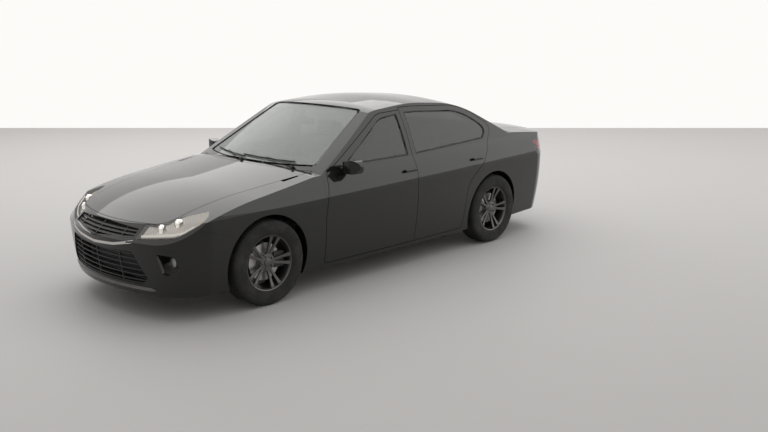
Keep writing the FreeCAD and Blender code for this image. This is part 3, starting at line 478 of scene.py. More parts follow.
def cloth_finish(name, colour):
    """Woven cloth with a mottled colour."""
    cloth = Finish(name, sheen_weight=0.35, sheen_roughness=0.5)
    x, y, z = cloth.axes()
    thread = 0.004
    weave = (x + z * 0.3).wave(thread) * (y + z).wave(thread)
    mottle = cloth.noise(60, 4, 0.6)
    amount = weave * 0.6 + mottle * 0.4
    cloth.set(base_color=cloth.blend(amount, shade(colour, 0.6), shade(colour, 1.7)))
    cloth.set(roughness=0.82 + mottle * 0.12, normal=cloth.bump(weave + mottle * 0.5, 0.0009, 0.7))


def make_finishes(colours):
    tint = tuple(colours.screen)
    paint_finish(tuple(colours.paint))
    glass_finish("window_glass", shade(tint, 0.9), shade(tint, 1.08), 0.04, 0.50, 0.08)
    glass_finish("side_glass", (0.022, 0.026, 0.024), (0.035, 0.04, 0.037), 0.03, 0.62, 0.06)
    headlamp_finishes()
    tail_lamp_finish()
    plastic_finish("black_plastic", (0.018, 0.018, 0.019), 0.42)
    plastic_finish("soft_dash", (0.035, 0.034, 0.033), 0.62, 260, 0.0004)
    plastic_finish("window_rubber", (0.012, 0.012, 0.012), 0.55, 300)
    plastic_finish("gloss_black", (0.008, 0.008, 0.009), 0.08, 600, 0.00002)
    wheel_finishes(tuple(colours.alloy))
    metal_finish("disc_steel", (0.42, 0.41, 0.40), 0.22, 300)
    metal_finish("cast_metal", (0.07, 0.068, 0.066), 0.55, 160, 0.7, 0.0009)
    metal_finish("engine_alloy", (0.30, 0.30, 0.30), 0.42, 200, 0.8, 0.0007)
    metal_finish("exhaust_steel", (0.40, 0.38, 0.36), 0.28, 120)
    metal_finish("underbody", (0.028, 0.028, 0.028), 0.7, 90, 0.0, 0.001)
    metal_finish("satin_trim", (0.20, 0.20, 0.20), 0.32, 240)
    mirror_finish("bright_trim", (0.60, 0.59, 0.57), (0.74, 0.73, 0.71), 8, 0.09, 0.08, 0.3)
    mirror_finish("mirror_glass", (0.80, 0.82, 0.83), (0.88, 0.9, 0.9), 6, 0.02, 0.03)
    cloth_finish("seat_cloth", tuple(colours.cloth))


# Modelling by hand tools
def clear_selection():
    if bpy.context.mode != "OBJECT":
        bpy.ops.object.mode_set(mode="OBJECT")
    bpy.ops.object.select_all(action="DESELECT")


def only(piece):
    clear_selection()
    piece.select_set(True)
    bpy.context.view_layer.objects.active = piece


def added(name):
    piece = bpy.context.active_object
    piece.name = piece.data.name = name
    return piece


def settle(piece):
    """Puts the piece's place into its mesh."""
    only(piece)
    bpy.ops.object.transform_apply(location=True, rotation=True, scale=True)
    return piece


def block(name, low, high):
    clear_selection()
    bpy.ops.mesh.primitive_cube_add(size=1, location=[(a + b) / 2 for a, b in zip(low, high)])
    piece = added(name)
    piece.scale = [b - a for a, b in zip(low, high)]
    return settle(piece)


def rod(name, start, end, radius, sides):
    clear_selection()
    run = Vector(end) - Vector(start)
    centre = (Vector(start) + Vector(end)) / 2
    bpy.ops.mesh.primitive_cylinder_add(vertices=sides, radius=radius, depth=run.length, location=centre)
    piece = added(name)
    piece.rotation_mode = "QUATERNION"
    piece.rotation_quaternion = run.to_track_quat("Z", "Y")
    return settle(piece)


def pick(piece, kind, test):
    """Edit mode with only the chosen vertices or faces selected."""
    only(piece)
    bpy.ops.object.mode_set(mode="EDIT")
    bpy.ops.mesh.select_mode(type=kind)
    bpy.ops.mesh.select_all(action="DESELECT")
    mesh = bmesh.from_edit_mesh(piece.data)
    for element in {"VERT": mesh.verts, "FACE": mesh.faces}[kind]:
        if test(element):
            element.select = True
    mesh.select_flush_mode()
    bmesh.update_edit_mesh(piece.data)


def done():
    bpy.ops.object.mode_set(mode="OBJECT")


def everything(element):
    return True


def modify(piece, kind, **settings):
    only(piece)
    bpy.ops.object.modifier_add(type=kind)
    modifier = piece.modifiers[-1]
    for key, value in settings.items():
        setattr(modifier, key, value)
    bpy.ops.object.modifier_apply(modifier=modifier.name)


def smooth(piece, angle=SMOOTH_ANGLE):
    only(piece)
    bpy.ops.object.shade_smooth_by_angle(angle=math.radians(angle))
    return piece


def soften(piece, width, segments=2):
    """Rounds the piece's sharp edges."""
    limit = math.radians(BEVEL_ANGLE)
    modify(piece, "BEVEL", width=width, segments=segments, limit_method="ANGLE", angle_limit=limit)
    return smooth(piece)


def outward(piece):
    """Merges what meets and turns all faces outwards."""
    pick(piece, "FACE", everything)
    bpy.ops.mesh.remove_doubles(threshold=MERGE_DISTANCE)
    bpy.ops.mesh.normals_make_consistent(inside=False)
    done()
    return piece


def drawn(name, points, closed=False):
    """Edges extruded from one vertex, point after point."""
    clear_selection()
    bpy.ops.mesh.primitive_plane_add(size=0.01)
    piece = added(name)
    pick(piece, "VERT", everything)
    bpy.ops.mesh.merge(type="CENTER")
    bpy.ops.transform.translate(value=points[0])
    for a, b in zip(points, points[1:]):
        bpy.ops.mesh.extrude_region_move(TRANSFORM_OT_translate={"value": Vector(b) - Vector(a)})
    if closed:
        bpy.ops.mesh.select_all(action="SELECT")
        bpy.ops.mesh.edge_face_add()
    done()
    return piece


def extruded(piece, kind, run):
    """Pulls the whole piece out along a vector."""
    pick(piece, kind, everything)
    bpy.ops.mesh.extrude_region_move(TRANSFORM_OT_translate={"value": run})
    done()
    return piece


def panel(name, points, run):
    """A closed outline filled and pulled out along a vector."""
    return outward(extruded(drawn(name, points, closed=True), "FACE", run))


def spun(name, points, centre, axis, steps, angle=SMOOTH_ANGLE):
    """A line of points turned once round an axis."""
    piece = drawn(name, points)
    pick(piece, "VERT", everything)
    bpy.ops.mesh.spin(steps=steps, angle=2 * math.pi, center=centre, axis=axis)
    done()
    return smooth(outward(piece), angle)


def turned(name, profile, centre, axis, steps, angle=SMOOTH_ANGLE, closed=False):
    """A profile of pairs, along an axis and out from it, turned round a centre."""
    along = {"X": Vector((1, 0, 0)), "Y": Vector((0, 1, 0))}[axis]
    points = [centre + along * a + Vector((0, 0, b)) for a, b in profile]
    if closed:
        points.append(points[0])
    return spun(name, points, centre, along, steps, angle)


def copied(piece, name, matrix=None):
    twin = piece.copy()
    twin.data = piece.data.copy()
    twin.name = twin.data.name = name
    bpy.context.scene.collection.objects.link(twin)
    if matrix is not None:
        twin.data.transform(matrix)
        if matrix.determinant() < 0:
            twin.data.flip_normals()
    return twin


def other_side(piece, name):
    return copied(piece, name, Matrix.Scale(-1, 4, (1, 0, 0)))


def around(centre, degrees):
    """A turn about a line along X through a centre."""
    turn = Matrix.Rotation(math.radians(degrees), 4, "X")
    return Matrix.Translation(centre) @ turn @ Matrix.Translation(-Vector(centre))


def joined(name, pieces):
    clear_selection()
    for piece in pieces:
        piece.select_set(True)
    bpy.context.view_layer.objects.active = pieces[0]
    bpy.ops.object.join()
    return added(name)


def finished(piece, material, body, stands_for=()):
    """Gives a piece its material, the body that it rides on and the solid parts that it replaces."""
    piece.data.materials.clear()
    piece.data.materials.append(Finish.made[material])
    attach(piece, body)
    if stands_for:
        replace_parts(piece, *stands_for)


def both(piece, stem, material, body):
    """The left piece and its mirror image, each with its own name."""
    twin = other_side(piece, f"{stem}_right")
    piece.name = piece.data.name = f"{stem}_left"
    finished(piece, material, body)
    finished(twin, material, body if body == "car" else body[:-1] + "r")


def copy_of(node, name):
    """A merged copy of a solid part's mesh."""
    piece = copied(frame["nodes"][node], name)
    piece.parent = None
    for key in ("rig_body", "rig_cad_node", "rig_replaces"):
        if key in piece:
            del piece[key]
    piece.hide_render = piece.hide_viewport = False
    pick(piece, "FACE", everything)
    bpy.ops.mesh.remove_doubles(threshold=COPY_MERGE_DISTANCE)
    done()
    return piece


def touch(node, start, direction):
    """Where a line first meets a solid part."""
    hit, spot, normal, face = frame["nodes"][node].ray_cast(Vector(start), Vector(direction).normalized())
    if not hit:
        raise RuntimeError(f"no surface of {node} from {start}")
    return spot


def front_of(node, x, z):
    """The foremost place of a solid part at a width and a height."""
    return touch(node, (x, BEFORE_NOSE, z), (0, 1, 0))


def lamp_span(x):
    """The lowest and highest places where lines along Y meet the headlamps."""
    lamps = frame["nodes"]["headlamps"]
    heights = [LAMP_LOW + i * SCAN_STEP for i in range(int((LAMP_HIGH - LAMP_LOW) / SCAN_STEP))]
    met = [z for z in heights if lamps.ray_cast(Vector((x, BEFORE_NOSE, z)), Vector((0, 1, 0)))[0]]
    if not met:
        raise RuntimeError(f"the headlamps have no face at {x}")
    return met[0], met[-1]


def behind_lens(face):
    """Whether a face of the headlamps lies behind their outer skin."""
    side, back, top = face.normal
    return abs(side) * 0.45 - back * 0.8 + top * 0.35 < OUTER_FACE


def faces_start(piece, axis, start):
    """Whether the pressed net's faces look towards where it came from."""
    i = "XYZ".index(axis)
    total = sum(face.normal[i] * face.area for face in piece.data.polygons)
    return total * (start - piece.data.vertices[0].co[i]) > 0


def laid(name, outline, node, seen_from, depth, step=NET_STEP):
    """A flat outline cut into a fine net, pressed on to a solid part and thickened."""
    axis, start = SEEN_FROM[seen_from]
    across = Vector((1, 0, 0)) if axis == "Y" else Vector((0, 1, 0))
    points = [(u, start, v) if axis == "Y" else (start, u, v) for u, v in outline]
    piece = drawn(name, points, closed=True)
    for i, direction in enumerate((across, Vector((0, 0, 1)))):
        low, high = min(pair[i] for pair in outline), max(pair[i] for pair in outline)
        cuts = max(1, int((high - low) / step))
        for cut in range(1, cuts):
            pick(piece, "FACE", everything)
            at = direction * (low + (high - low) * cut / cuts)
            bpy.ops.mesh.bisect(plane_co=at, plane_no=direction)
            done()
    modify(
        piece,
        "SHRINKWRAP",
        target=frame["nodes"][node],
        wrap_method="PROJECT",
        use_project_x=axis == "X",
        use_project_y=axis == "Y",
        use_negative_direction=True,
        use_positive_direction=True,
        offset=SKIN_GAP,
    )
    outward(piece)
    modify(piece, "SOLIDIFY", thickness=depth, offset=1.0 if faces_start(piece, axis, start) else -1.0)
    return smooth(outward(piece))


def edge_band(node, name, outside, width, depth):
    """A band just inside the edge of a part's outer face."""
    piece = copy_of(node, name)
    pick(piece, "FACE", lambda f: f.normal.dot(Vector(outside)) < OUTER_FACE)
    bpy.ops.mesh.delete(type="FACE")
    bpy.ops.mesh.select_all(action="SELECT")
    bpy.ops.mesh.inset(thickness=width, depth=0, use_boundary=True, use_even_offset=True)
    bpy.ops.mesh.delete(type="FACE")
    done()
    modify(piece, "SOLIDIFY", thickness=depth, offset=1.0)
    return smooth(piece)


def cushion(name, low, high, bulge, taper=0.0):
    """A crowned closed pad from a block that is divided, drawn in at its top and rounded."""
    pad = block(name, low, high)
    pick(pad, "FACE", everything)
    bpy.ops.mesh.subdivide(number_cuts=5, smoothness=0)
    done()
    centre = (Vector(low) + Vector(high)) / 2
    half = (Vector(high) - Vector(low)) / 2
    for vertex in pad.data.vertices:
        away = vertex.co - centre
        u, v, w = (away[i] / half[i] for i in range(3))
        if w > 0:
            vertex.co.z += bulge * (1 - u * u) * (1 - v * v)
            vertex.co.x -= away.x * taper * w
        if abs(u) > 0.98:
            vertex.co.x += math.copysign(0.006 * (1 - w * w), u)
    modify(pad, "SUBSURF", levels=2, render_levels=2)
    return smooth(pad, 60)


def place_on_wheels(piece, stem, material, stands_for):
    """Copies a left front wheel's piece to all four wheels."""
    start = piece.data.copy()
    bpy.data.objects.remove(piece)
    for where, (body, side) in WHEELS.items():
        spot = middle(f"tyre_{where}")
        mesh = start.copy()
        mesh.transform(Matrix.Translation((0, spot.y - HUB.y, 0)))
        if side < 0:
            mesh.transform(Matrix.Scale(-1, 4, (1, 0, 0)))
            mesh.flip_normals()
        twin = bpy.data.objects.new(f"{stem}_detail_{where}", mesh)
        mesh.name = twin.name
        bpy.context.scene.collection.objects.link(twin)
        finished(twin, material, body, [n.format(where) for n in stands_for])


# Pieces
class SEDAN_OT_body(bpy.types.Operator):
    """Paint, glass and metal on the solid parts that stay in view"""

    bl_idname = "sedan.body"
    bl_label = "Body finishes"

    def execute(self, context):
        make_finishes(context.scene.sedan_colours)
        by_slot = {
            "body_paint": "charcoal_paint",
            "window_glass": "window_glass",
            "clear_lens": "clear_lens",
            "red_lens": "red_lens",
            "dark_trim": "black_plastic",
            "seat_fabric": "seat_cloth",
            "underbody": "underbody",
            "suspension_iron": "cast_metal",
            "engine_alloy": "engine_alloy",
            "exhaust_steel": "exhaust_steel",
            "tyre_rubber": "tyre_rubber",
            "rim_alloy": "alloy_rim",
        }
        own = {"dashboard": "soft_dash", "rear_shelf": "charcoal_paint", "floor_pan": "underbody"}
        for entry in frame["record"]["subparts"]:
            node = entry["node"]
            name = own.get(node) or by_slot[entry["material_slot"]]
            if node.startswith("glass_") or node == "rear_window":
                name = "side_glass"
            mesh = frame["nodes"][node].data
            mesh.materials.clear()
            mesh.materials.append(Finish.made[name])
        return {"FINISHED"}


class SEDAN_OT_tyres(bpy.types.Operator):
    """Four tyres with ribbed sidewalls, round grooves and cross cuts"""

    bl_idname = "sedan.tyres"
    bl_label = "Tyres"

    def execute(self, context):
        depth = context.scene.sedan_sizes.groove_depth
        groove_floor = TYRE_RADIUS - depth
        half = [
            (0.0915, 0.2164), (0.0965, 0.2185), (0.0990, 0.2300), (0.1005, 0.2310), (0.1012, 0.2360),
            (0.1030, 0.2420), (0.1040, 0.2425), (0.1060, 0.2600), (0.1073, 0.2740), (0.1071, 0.2860),
            (0.1060, 0.2970), (0.1064, 0.2990), (0.1040, 0.3090), (0.1000, 0.3190), (0.0940, 0.3268),
            (0.0860, 0.3316), (0.0780, 0.3334),
        ]
        for outer, inner in ((0.0560, 0.0480), (0.0220, 0.0140)):
            half += [(outer, TYRE_RADIUS), (outer - 0.001, groove_floor)]
            half += [(inner + 0.001, groove_floor), (inner, TYRE_RADIUS)]
        profile = half + [(-x, z) for x, z in reversed(half)]
        piece = drawn("tyre_front_left", [Vector((HUB.x + x, HUB.y, HUB.z + z)) for x, z in profile])
        pitch = 2 * math.pi / TREAD_PITCHES
        pick(piece, "VERT", everything)
        for share in (CUT_SHARE, BLOCK_SHARE, BLOCK_SHARE):
            bpy.ops.mesh.spin(steps=1, angle=pitch * share, center=HUB, axis=(1, 0, 0))
        done()

        def cross_cut(face):
            spot = face.calc_center_median() - HUB
            high = math.hypot(spot.y, spot.z) > SHOULDER_RADIUS
            turn = abs(math.atan2(spot.y, spot.z))
            return high and abs(spot.x) > MIDDLE_RIB and turn < pitch * CUT_SHARE

        pick(piece, "FACE", cross_cut)
        bpy.ops.mesh.extrude_region_move(TRANSFORM_OT_translate={"value": (0, 0, -depth * CUT_DEPTH_SHARE)})
        done()
        count = 1
        while count < TREAD_PITCHES:
            twin = copied(piece, "tyre_turned", around(HUB, 360 / TREAD_PITCHES * count))
            piece = joined("tyre_front_left", [piece, twin])
            pick(piece, "VERT", everything)
            bpy.ops.mesh.remove_doubles(threshold=RING_MERGE_DISTANCE)
            done()
            count *= 2
        smooth(outward(piece), 25)
        place_on_wheels(piece, "tyre", "tyre_rubber", ["tyre_{}"])
        return {"FINISHED"}


class SEDAN_OT_rims(bpy.types.Operator):
    """Alloy wheels with twin spokes, wheel bolts, valve and hub cover"""

    bl_idname = "sedan.rims"
    bl_label = "Rims"

    def execute(self, context):
        pairs = context.scene.sedan_sizes.spoke_pairs
        x, y, z = HUB
        barrel = [
            (0.0915, 0.2158), (0.0925, 0.2195), (0.0900, 0.2200), (0.0880, 0.2160), (0.0855, 0.2120),
            (0.0800, 0.2095), (0.0640, 0.2050), (0.0600, 0.2035), (-0.0600, 0.2035), (-0.0850, 0.2110),
            (-0.0890, 0.2200), (-0.0920, 0.2195), (-0.0918, 0.2158), (-0.0600, 0.2010), (0.0560, 0.2000),
            (0.0700, 0.2015), (0.0800, 0.2045), (0.0890, 0.2090),
        ]
        pieces = [turned("barrel", barrel, HUB, "X", 96, 40, closed=True)]
        face = x + SPOKE_FACE
        foot, reach, thin = 0.045, 0.16, 0.0105
        blade = block("spoke", (face - 0.002, y - thin, z + foot), (face + 0.018, y + thin, z + 0.2055))
        pick(blade, "FACE", everything)
        bpy.ops.mesh.subdivide(number_cuts=5)
        done()
        for vertex in blade.data.vertices:
            out = (vertex.co.z - z - foot) / reach
            vertex.co.x += 0.027 * out**1.6
            vertex.co.y = y + (vertex.co.y - y) * (1.15 - 0.75 * out * (1 - out) + 0.35 * out**3)
        soften(blade, 0.0028, 3)
        for i in range(pairs):
            for lean in (-SPOKE_LEAN, SPOKE_LEAN):
                turn = SPOKE_TURN + 360 / pairs * i + lean
                pieces.append(copied(blade, "spoke_turned", around(HUB, turn)))
        bpy.data.objects.remove(blade)
        hub = [
            (-0.004, 0.001), (-0.004, 0.070), (0.010, 0.072), (0.018, 0.068), (0.021, 0.056),
            (0.018, 0.036), (0.019, 0.033), (0.024, 0.031), (0.0265, 0.020), (0.0272, 0.001),
        ]
        pieces.append(turned("hub", [(SPOKE_FACE + a, b) for a, b in hub], HUB, "X", 48, 30))
        for i in range(BOLTS):
            spot = Vector((face + 0.014, y, z + 0.052))
            bolt = soften(rod("bolt", spot, spot + Vector((0.014, 0, 0)), 0.0095, 6), 0.0016)
            bolt.data.transform(around(HUB, 360 / BOLTS * i + VALVE_TURN))
            pieces.append(bolt)
        valve = rod("valve", (x + 0.072, y, z + 0.198), (x + 0.092, y, z + 0.190), 0.0035, 12)
        valve.data.transform(around(HUB, VALVE_TURN))
        pieces.append(soften(valve, 0.001, 1))
        place_on_wheels(joined("rim", pieces), "rim", "alloy_rim", ["rim_{}"])
        return {"FINISHED"}


class SEDAN_OT_discs(bpy.types.Operator):
    """Vented brake discs with their hats, and the wheels' spindles"""

    bl_idname = "sedan.discs"
    bl_label = "Brake discs"

    def execute(self, context):
        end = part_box("rim_front_left")[0].x - HUB.x
        behind_spokes = [
            (0.034, 0.0240), (0.030, 0.070), (0.040, 0.078), (0.044, 0.084), (0.044, 0.147),
            (0.036, 0.148), (0.036, 0.110), (0.031, 0.110), (0.031, 0.148), (0.023, 0.147),
            (0.023, 0.082), (0.005, 0.076), (0.004, 0.001),
        ]
        profile = [(end, 0.001), (end, 0.0235)] + [(SPOKE_FACE - a, b) for a, b in behind_spokes]
        piece = turned("disc", profile, HUB, "X", 72, 30)
        place_on_wheels(piece, "brake_disc", "disc_steel", ["rim_{}"])
        return {"FINISHED"}


class SEDAN_OT_glazing(bpy.types.Operator):
    """Black borders on the screens and rubber round the side windows"""

    bl_idname = "sedan.glazing"
    bl_label = "Window borders"

    def execute(self, context):
        sizes = context.scene.sedan_sizes
        for node, outside in (("windscreen", (0, -0.45, 0.89)), ("rear_window", (0, 0.35, 0.94))):
            band = edge_band(node, f"{node}_border", outside, sizes.frit_width, 0.0004)
            finished(band, "gloss_black", "car")
        for row in ("front", "rear"):
            for side, sign in SIDES.items():
                pane, name = f"glass_{row}_{side}", f"window_seal_{row}_{side}"
                band = edge_band(pane, name, (sign * 0.9, 0, 0.3), sizes.seal_width, 0.004)
                finished(band, "window_rubber", f"door_{row[0]}{side[0]}")
        return {"FINISHED"}


class SEDAN_OT_headlamps(bpy.types.Operator):
    """Projector lamps, a light strip and a bowl with an amber end inside each headlamp"""

    bl_idname = "sedan.headlamps"
    bl_label = "Headlamp insides"

    def execute(self, context):
        domes, bezels = [], []
        for x, radius in ((0.575, 0.030), (0.665, 0.028)):
            low, high = lamp_span(x)
            z = low + (high - low) * 0.56
            spot = Vector((x, front_of("headlamps", x, z).y + 0.024, z))
            ring = [
                (0.0, radius), (-0.004, radius + 0.004), (0.004, radius + 0.007),
                (0.030, radius + 0.004), (0.030, radius - 0.004), (0.002, radius - 0.001),
            ]
            bezels.append(turned("bezel", ring, spot, "Y", 32, closed=True))
            dome = [
                (-0.012, 0.0005), (-0.0105, radius * 0.45), (-0.006, radius * 0.75),
                (0.001, radius * 0.94), (0.014, radius * 0.94), (0.015, 0.0005),
            ]
            domes.append(turned("dome", dome, spot, "Y", 32))
        bowl = copy_of("headlamps", "lamp_reflectors")
        pick(bowl, "FACE", behind_lens)
        bpy.ops.mesh.delete(type="FACE")
        done()
        for vertex in bowl.data.vertices:
            vertex.co = (vertex.co.x * 0.985, vertex.co.y + REFLECTOR_DEPTH, vertex.co.z - 0.006)
        modify(bowl, "SOLIDIFY", thickness=0.001, offset=-1)
        # The bowl's finish glows with painted light in place of reflected light
        finished(smooth(bowl), "reflector_painted_glow", "car")
        both(joined("lamp_bezels", bezels), "lamp_bezels", "bright_trim", "car")
        both(joined("lamp_domes", domes), "lamp_domes", "lamp_glow", "car")
        path = []
        for x in (0.48, 0.54, 0.60, 0.66, 0.72, 0.77, 0.81):
            edge = front_of("headlamps", x, lamp_span(x)[0] + 0.012)
            path.append(edge + Vector((-0.004, 0.012, 0)))
        strip = extruded(drawn("light_strip", path), "VERT", (0, 0.004, 0.011))
        modify(strip, "SOLIDIFY", thickness=0.005, offset=0)
        both(smooth(outward(strip)), "light_strip", "lamp_glow", "car")
        return {"FINISHED"}


class SEDAN_OT_nose(bpy.types.Operator):
    """Bright band between the grilles, fog lamps and lower lip"""

    bl_idname = "sedan.nose"
    bl_label = "Nose trim"

    def execute(self, context):
        depth = context.scene.sedan_sizes.trim_depth
        upper = [(-0.440, 0.598), (-0.250, 0.560), (0.0, 0.542), (0.250, 0.560), (0.440, 0.598)]
        lower = [(x, z - 0.020) for x, z in reversed(upper)]
        band = laid("nose_band", upper + lower, "front_bumper", "front", depth * BAND_DEPTH_SHARE)
        finished(band, "bright_trim", "car")
        left = [(0.56, 0.252), (0.60, 0.236), (0.56, 0.226)]
        right = [(-x, z) for x, z in reversed(left)]
        lip = laid("nose_lip", right[-1:] + left + right[:-1], "front_bumper", "front", depth)
        finished(lip, "satin_trim", "car")
        skin = front_of("front_bumper", 0.60, FOG_LAMP_Z)
        spot = Vector((FOG_LAMP_X, skin.y + 0.110, FOG_LAMP_Z))
        profile = [(0.0, 0.036), (-0.006, 0.041), (0.0, 0.046), (0.040, 0.044), (0.048, 0.001)]
        cup = turned("fog_cups", profile, spot, "Y", 32)
        profile = [(-0.004, 0.0005), (-0.002, 0.020), (0.004, 0.036), (0.020, 0.036), (0.022, 0.0005)]
        lens = turned("fog_lenses", profile, spot, "Y", 32)
        both(cup, "fog_cups", "black_plastic", "car")
        both(lens, "fog_lenses", "fog_glass", "car")
        return {"FINISHED"}


class SEDAN_OT_tail(bpy.types.Operator):
    """Reflectors, lower valance and the strip across the lid"""

    bl_idname = "sedan.tail"
    bl_label = "Tail trim"

    def execute(self, context):
        depth = context.scene.sedan_sizes.trim_depth
        outline = [(-0.48, 0.345), (0.48, 0.345), (0.56, 0.29), (-0.56, 0.29)]
        valance = laid("rear_valance", outline, "rear_bumper", "rear", depth)
        finished(valance, "black_plastic", "car")
        outline = [(0.60, 0.420), (0.74, 0.432), (0.74, 0.405), (0.60, 0.395)]
        reflector = laid("rear_reflector", outline, "rear_bumper", "rear", depth)
        both(reflector, "rear_reflector", "red_lens", "car")
        outline = [(-0.34, 0.905), (0.34, 0.905), (0.34, 0.885), (-0.34, 0.885)]
        strip = laid("lid_strip", outline, "trunk_lid", "rear", depth)
        finished(strip, "bright_trim", "trunk_lid")
        return {"FINISHED"}


class SEDAN_OT_mirrors(bpy.types.Operator):
    """Mirror glass in each housing"""

    bl_idname = "sedan.mirrors"
    bl_label = "Mirror glass"

    def execute(self, context):
        back = top_of("mirror_left").y
        inner, outer = back - 0.007, back - 0.005
        outline = [
            (0.884, inner, 0.953), (0.880, inner, 1.018), (0.898, inner, 1.026), (1.006, outer, 1.038),
            (1.022, outer, 1.022), (1.024, outer, 0.985), (1.002, outer, 0.950),
        ]
        glass = soften(panel("mirror_glass", outline, (0, 0.003, 0)), 0.0008, 1)
        both(glass, "mirror_glass", "mirror_glass", "door_fl")
        return {"FINISHED"}


class SEDAN_OT_wipers(bpy.types.Operator):
    """Two wipers that rest on the windscreen"""

    bl_idname = "sedan.wipers"
    bl_label = "Wipers"

    def execute(self, context):
        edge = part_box("windscreen")[0].y
        steps = 8
        for name, foot, reach in (("wiper_driver", 0.52, -0.62), ("wiper_passenger", -0.06, -0.54)):
            blade = []
            for i in range(steps + 1):
                x = foot + reach * i / steps
                y = edge + x * x / 3.4 + 0.045 + 0.020 * i / steps
                blade.append(touch("windscreen", (x, y, 2), (0, 0, -1)) + Vector((0, 0, 0.004)))
            line = extruded(drawn(name, blade), "VERT", (0, -0.006, 0.010))
            modify(line, "SOLIDIFY", thickness=0.006, offset=0)
            pivot = blade[0] + Vector((0.03, -0.060, -0.014))
            centre = blade[steps // 2]
            arm = rod("arm", pivot + Vector((0, 0, 0.008)), centre + Vector((0, -0.004, 0.014)), 0.005, 10)
            cap = rod("cap", pivot + Vector((0, 0, -0.010)), pivot + Vector((0, 0, 0.016)), 0.014, 20)
            piece = joined(name, [outward(line), soften(arm, 0.001, 1), soften(cap, 0.003)])
            finished(smooth(piece), "black_plastic", "car")
        return {"FINISHED"}


def front_seat_pads():
    """The left front seat's cushion, back, bolsters and head restraint."""
    x, half = SEAT_X, SEAT_HALF
    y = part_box("front_seats")[0].y
    pads = [
        cushion("seat_cushion", (x - 0.165, y + 0.005, 0.335), (x + 0.165, 0.09, 0.452), 0.020),
        cushion("bolster_out", (x + 0.160, y + 0.03, 0.335), (x + half, 0.09, 0.468), 0.012),
        cushion("bolster_in", (x - half, y + 0.03, 0.335), (x - 0.160, 0.09, 0.468), 0.012),
    ]
    edge = half - 0.012
    backs = [
        cushion("back_pad", (x - 0.150, 0.045, 0.430), (x + 0.150, 0.160, 1.050), 0.004, 0.06),
        cushion("back_bolster_out", (x + 0.145, 0.020, 0.450), (x + edge, 0.170, 1.010), 0.004, 0.03),
        cushion("back_bolster_in", (x - edge, 0.020, 0.450), (x - 0.145, 0.170, 1.010), 0.004, 0.03),
        cushion("head_pad", (x - 0.125, 0.045, 1.085), (x + 0.125, 0.145, 1.215), 0.010),
    ]
    for pad in backs:
        pad.data.transform(around(Vector((x, 0.10, 0.43)), SEAT_LEAN))
    return pads + backs


def rear_bench_pads():
    """Three places side by side, each with a cushion and a back."""
    pads = []
    for left, right in ((-0.585, -0.205), (-0.195, 0.195), (0.205, 0.585)):
        pads.append(cushion("bench", (left, 0.585, 0.22), (right, 1.06, 0.470), 0.016))
        back = cushion("bench_back", (left, 1.035, 0.45), (right, 1.150, 0.985), 0.004)
        back.data.transform(around(Vector((0, 1.09, 0.46)), BENCH_LEAN))
        pads.append(back)
    return pads


class SEDAN_OT_seats(bpy.types.Operator):
    """Front seats and rear bench with bolsters, seams and head restraints"""

    bl_idname = "sedan.seats"
    bl_label = "Seats"

    def execute(self, context):
        x = SEAT_X
        pads = front_seat_pads()
        low, high = Vector((x, 0.255, 1.02)), Vector((x, 0.292, 1.11))
        apart = Vector((0.05, 0, 0))
        posts = [rod("post", low + apart * side, high + apart * side, 0.006, 12) for side in (-1, 1)]
        base = soften(block("seat_base", (x - 0.18, -0.33, 0.2065), (x + 0.18, 0.055, 0.345)), 0.012)
        cloth = joined("front_seat", pads)
        twin = other_side(cloth, "front_seat_right")
        cloth.name = cloth.data.name = "front_seat_left"
        for piece in (cloth, twin):
            finished(piece, "seat_cloth", "car", ["front_seats"])
        both(joined("seat_frame", [base] + posts), "seat_frame", "black_plastic", "car")
        bench = joined("rear_bench", rear_bench_pads())
        finished(bench, "seat_cloth", "car", ["rear_seat"])
        return {"FINISHED"}


def steering_wheel():
    """Padded rim, boss and three spokes, square to the column."""
    joint = next(j for j in frame["joints"] if j["name"] == "steering_wheel_turn")
    hub, axis = Vector(joint["pos_m"]), Vector(joint["axis"])
    across = Vector((1, 0, 0))
    up = axis.cross(across).normalized() * (1 if axis.cross(across).z > 0 else -1)
    radius, thick = 0.178, 0.0150
    turns = [i * math.pi / 6 for i in range(12)]
    ring = [hub + up * (radius + thick * math.cos(a)) + axis * thick * math.sin(a) for a in turns]
    pieces = [spun("ring", ring + ring[:1], hub, axis, 64, 60)]
    profile = [
        (0.001, 0.020), (0.030, 0.019), (0.052, 0.014), (0.061, 0.004), (0.062, -0.020),
        (0.040, -0.036), (0.001, -0.037),
    ]
    pieces.append(spun("boss", [hub + up * r + axis * h for r, h in profile], hub, axis, 40, 40))
    half_widths = [(0.0, 0.022), (0.06, 0.013), (0.122, 0.016)]
    for direction in (across, -across, -up):
        side = axis.cross(direction).normalized()
        foot = hub + direction * 0.048 - axis * 0.006
        outline = [foot + direction * out + side * half for out, half in half_widths]
        outline += [foot + direction * out - side * half for out, half in reversed(half_widths)]
        pieces.append(soften(panel("spoke", outline, axis * 0.012), 0.003, 3))
    return joined("steering_wheel_detail", pieces)


def air_vents():
    """Four framed openings in the dashboard, each with four slats."""
    vents = []
    for x in (-0.66, -0.10, 0.10, 0.66):
        y = touch("dashboard", (x, 0.0, 0.875), (0, -1, 0)).y
        surround = block("vent", (x - 0.055, y - 0.010, 0.845), (x + 0.055, y + 0.006, 0.905))
        pick(surround, "FACE", lambda f: f.normal.y > 0.9)
        bpy.ops.mesh.inset(thickness=0.006, depth=0)
        bpy.ops.mesh.extrude_region_move(TRANSFORM_OT_translate={"value": (0, -0.012, 0)})
        done()
        vents.append(soften(surround, 0.0015))
        for i in range(4):
            z = 0.853 + i * 0.0125
            slat = block("slat", (x - 0.050, y - 0.007, z), (x + 0.050, y + 0.003, z + 0.0025))
            vents.append(soften(slat, 0.0006, 1))
    return joined("air_vents", vents)


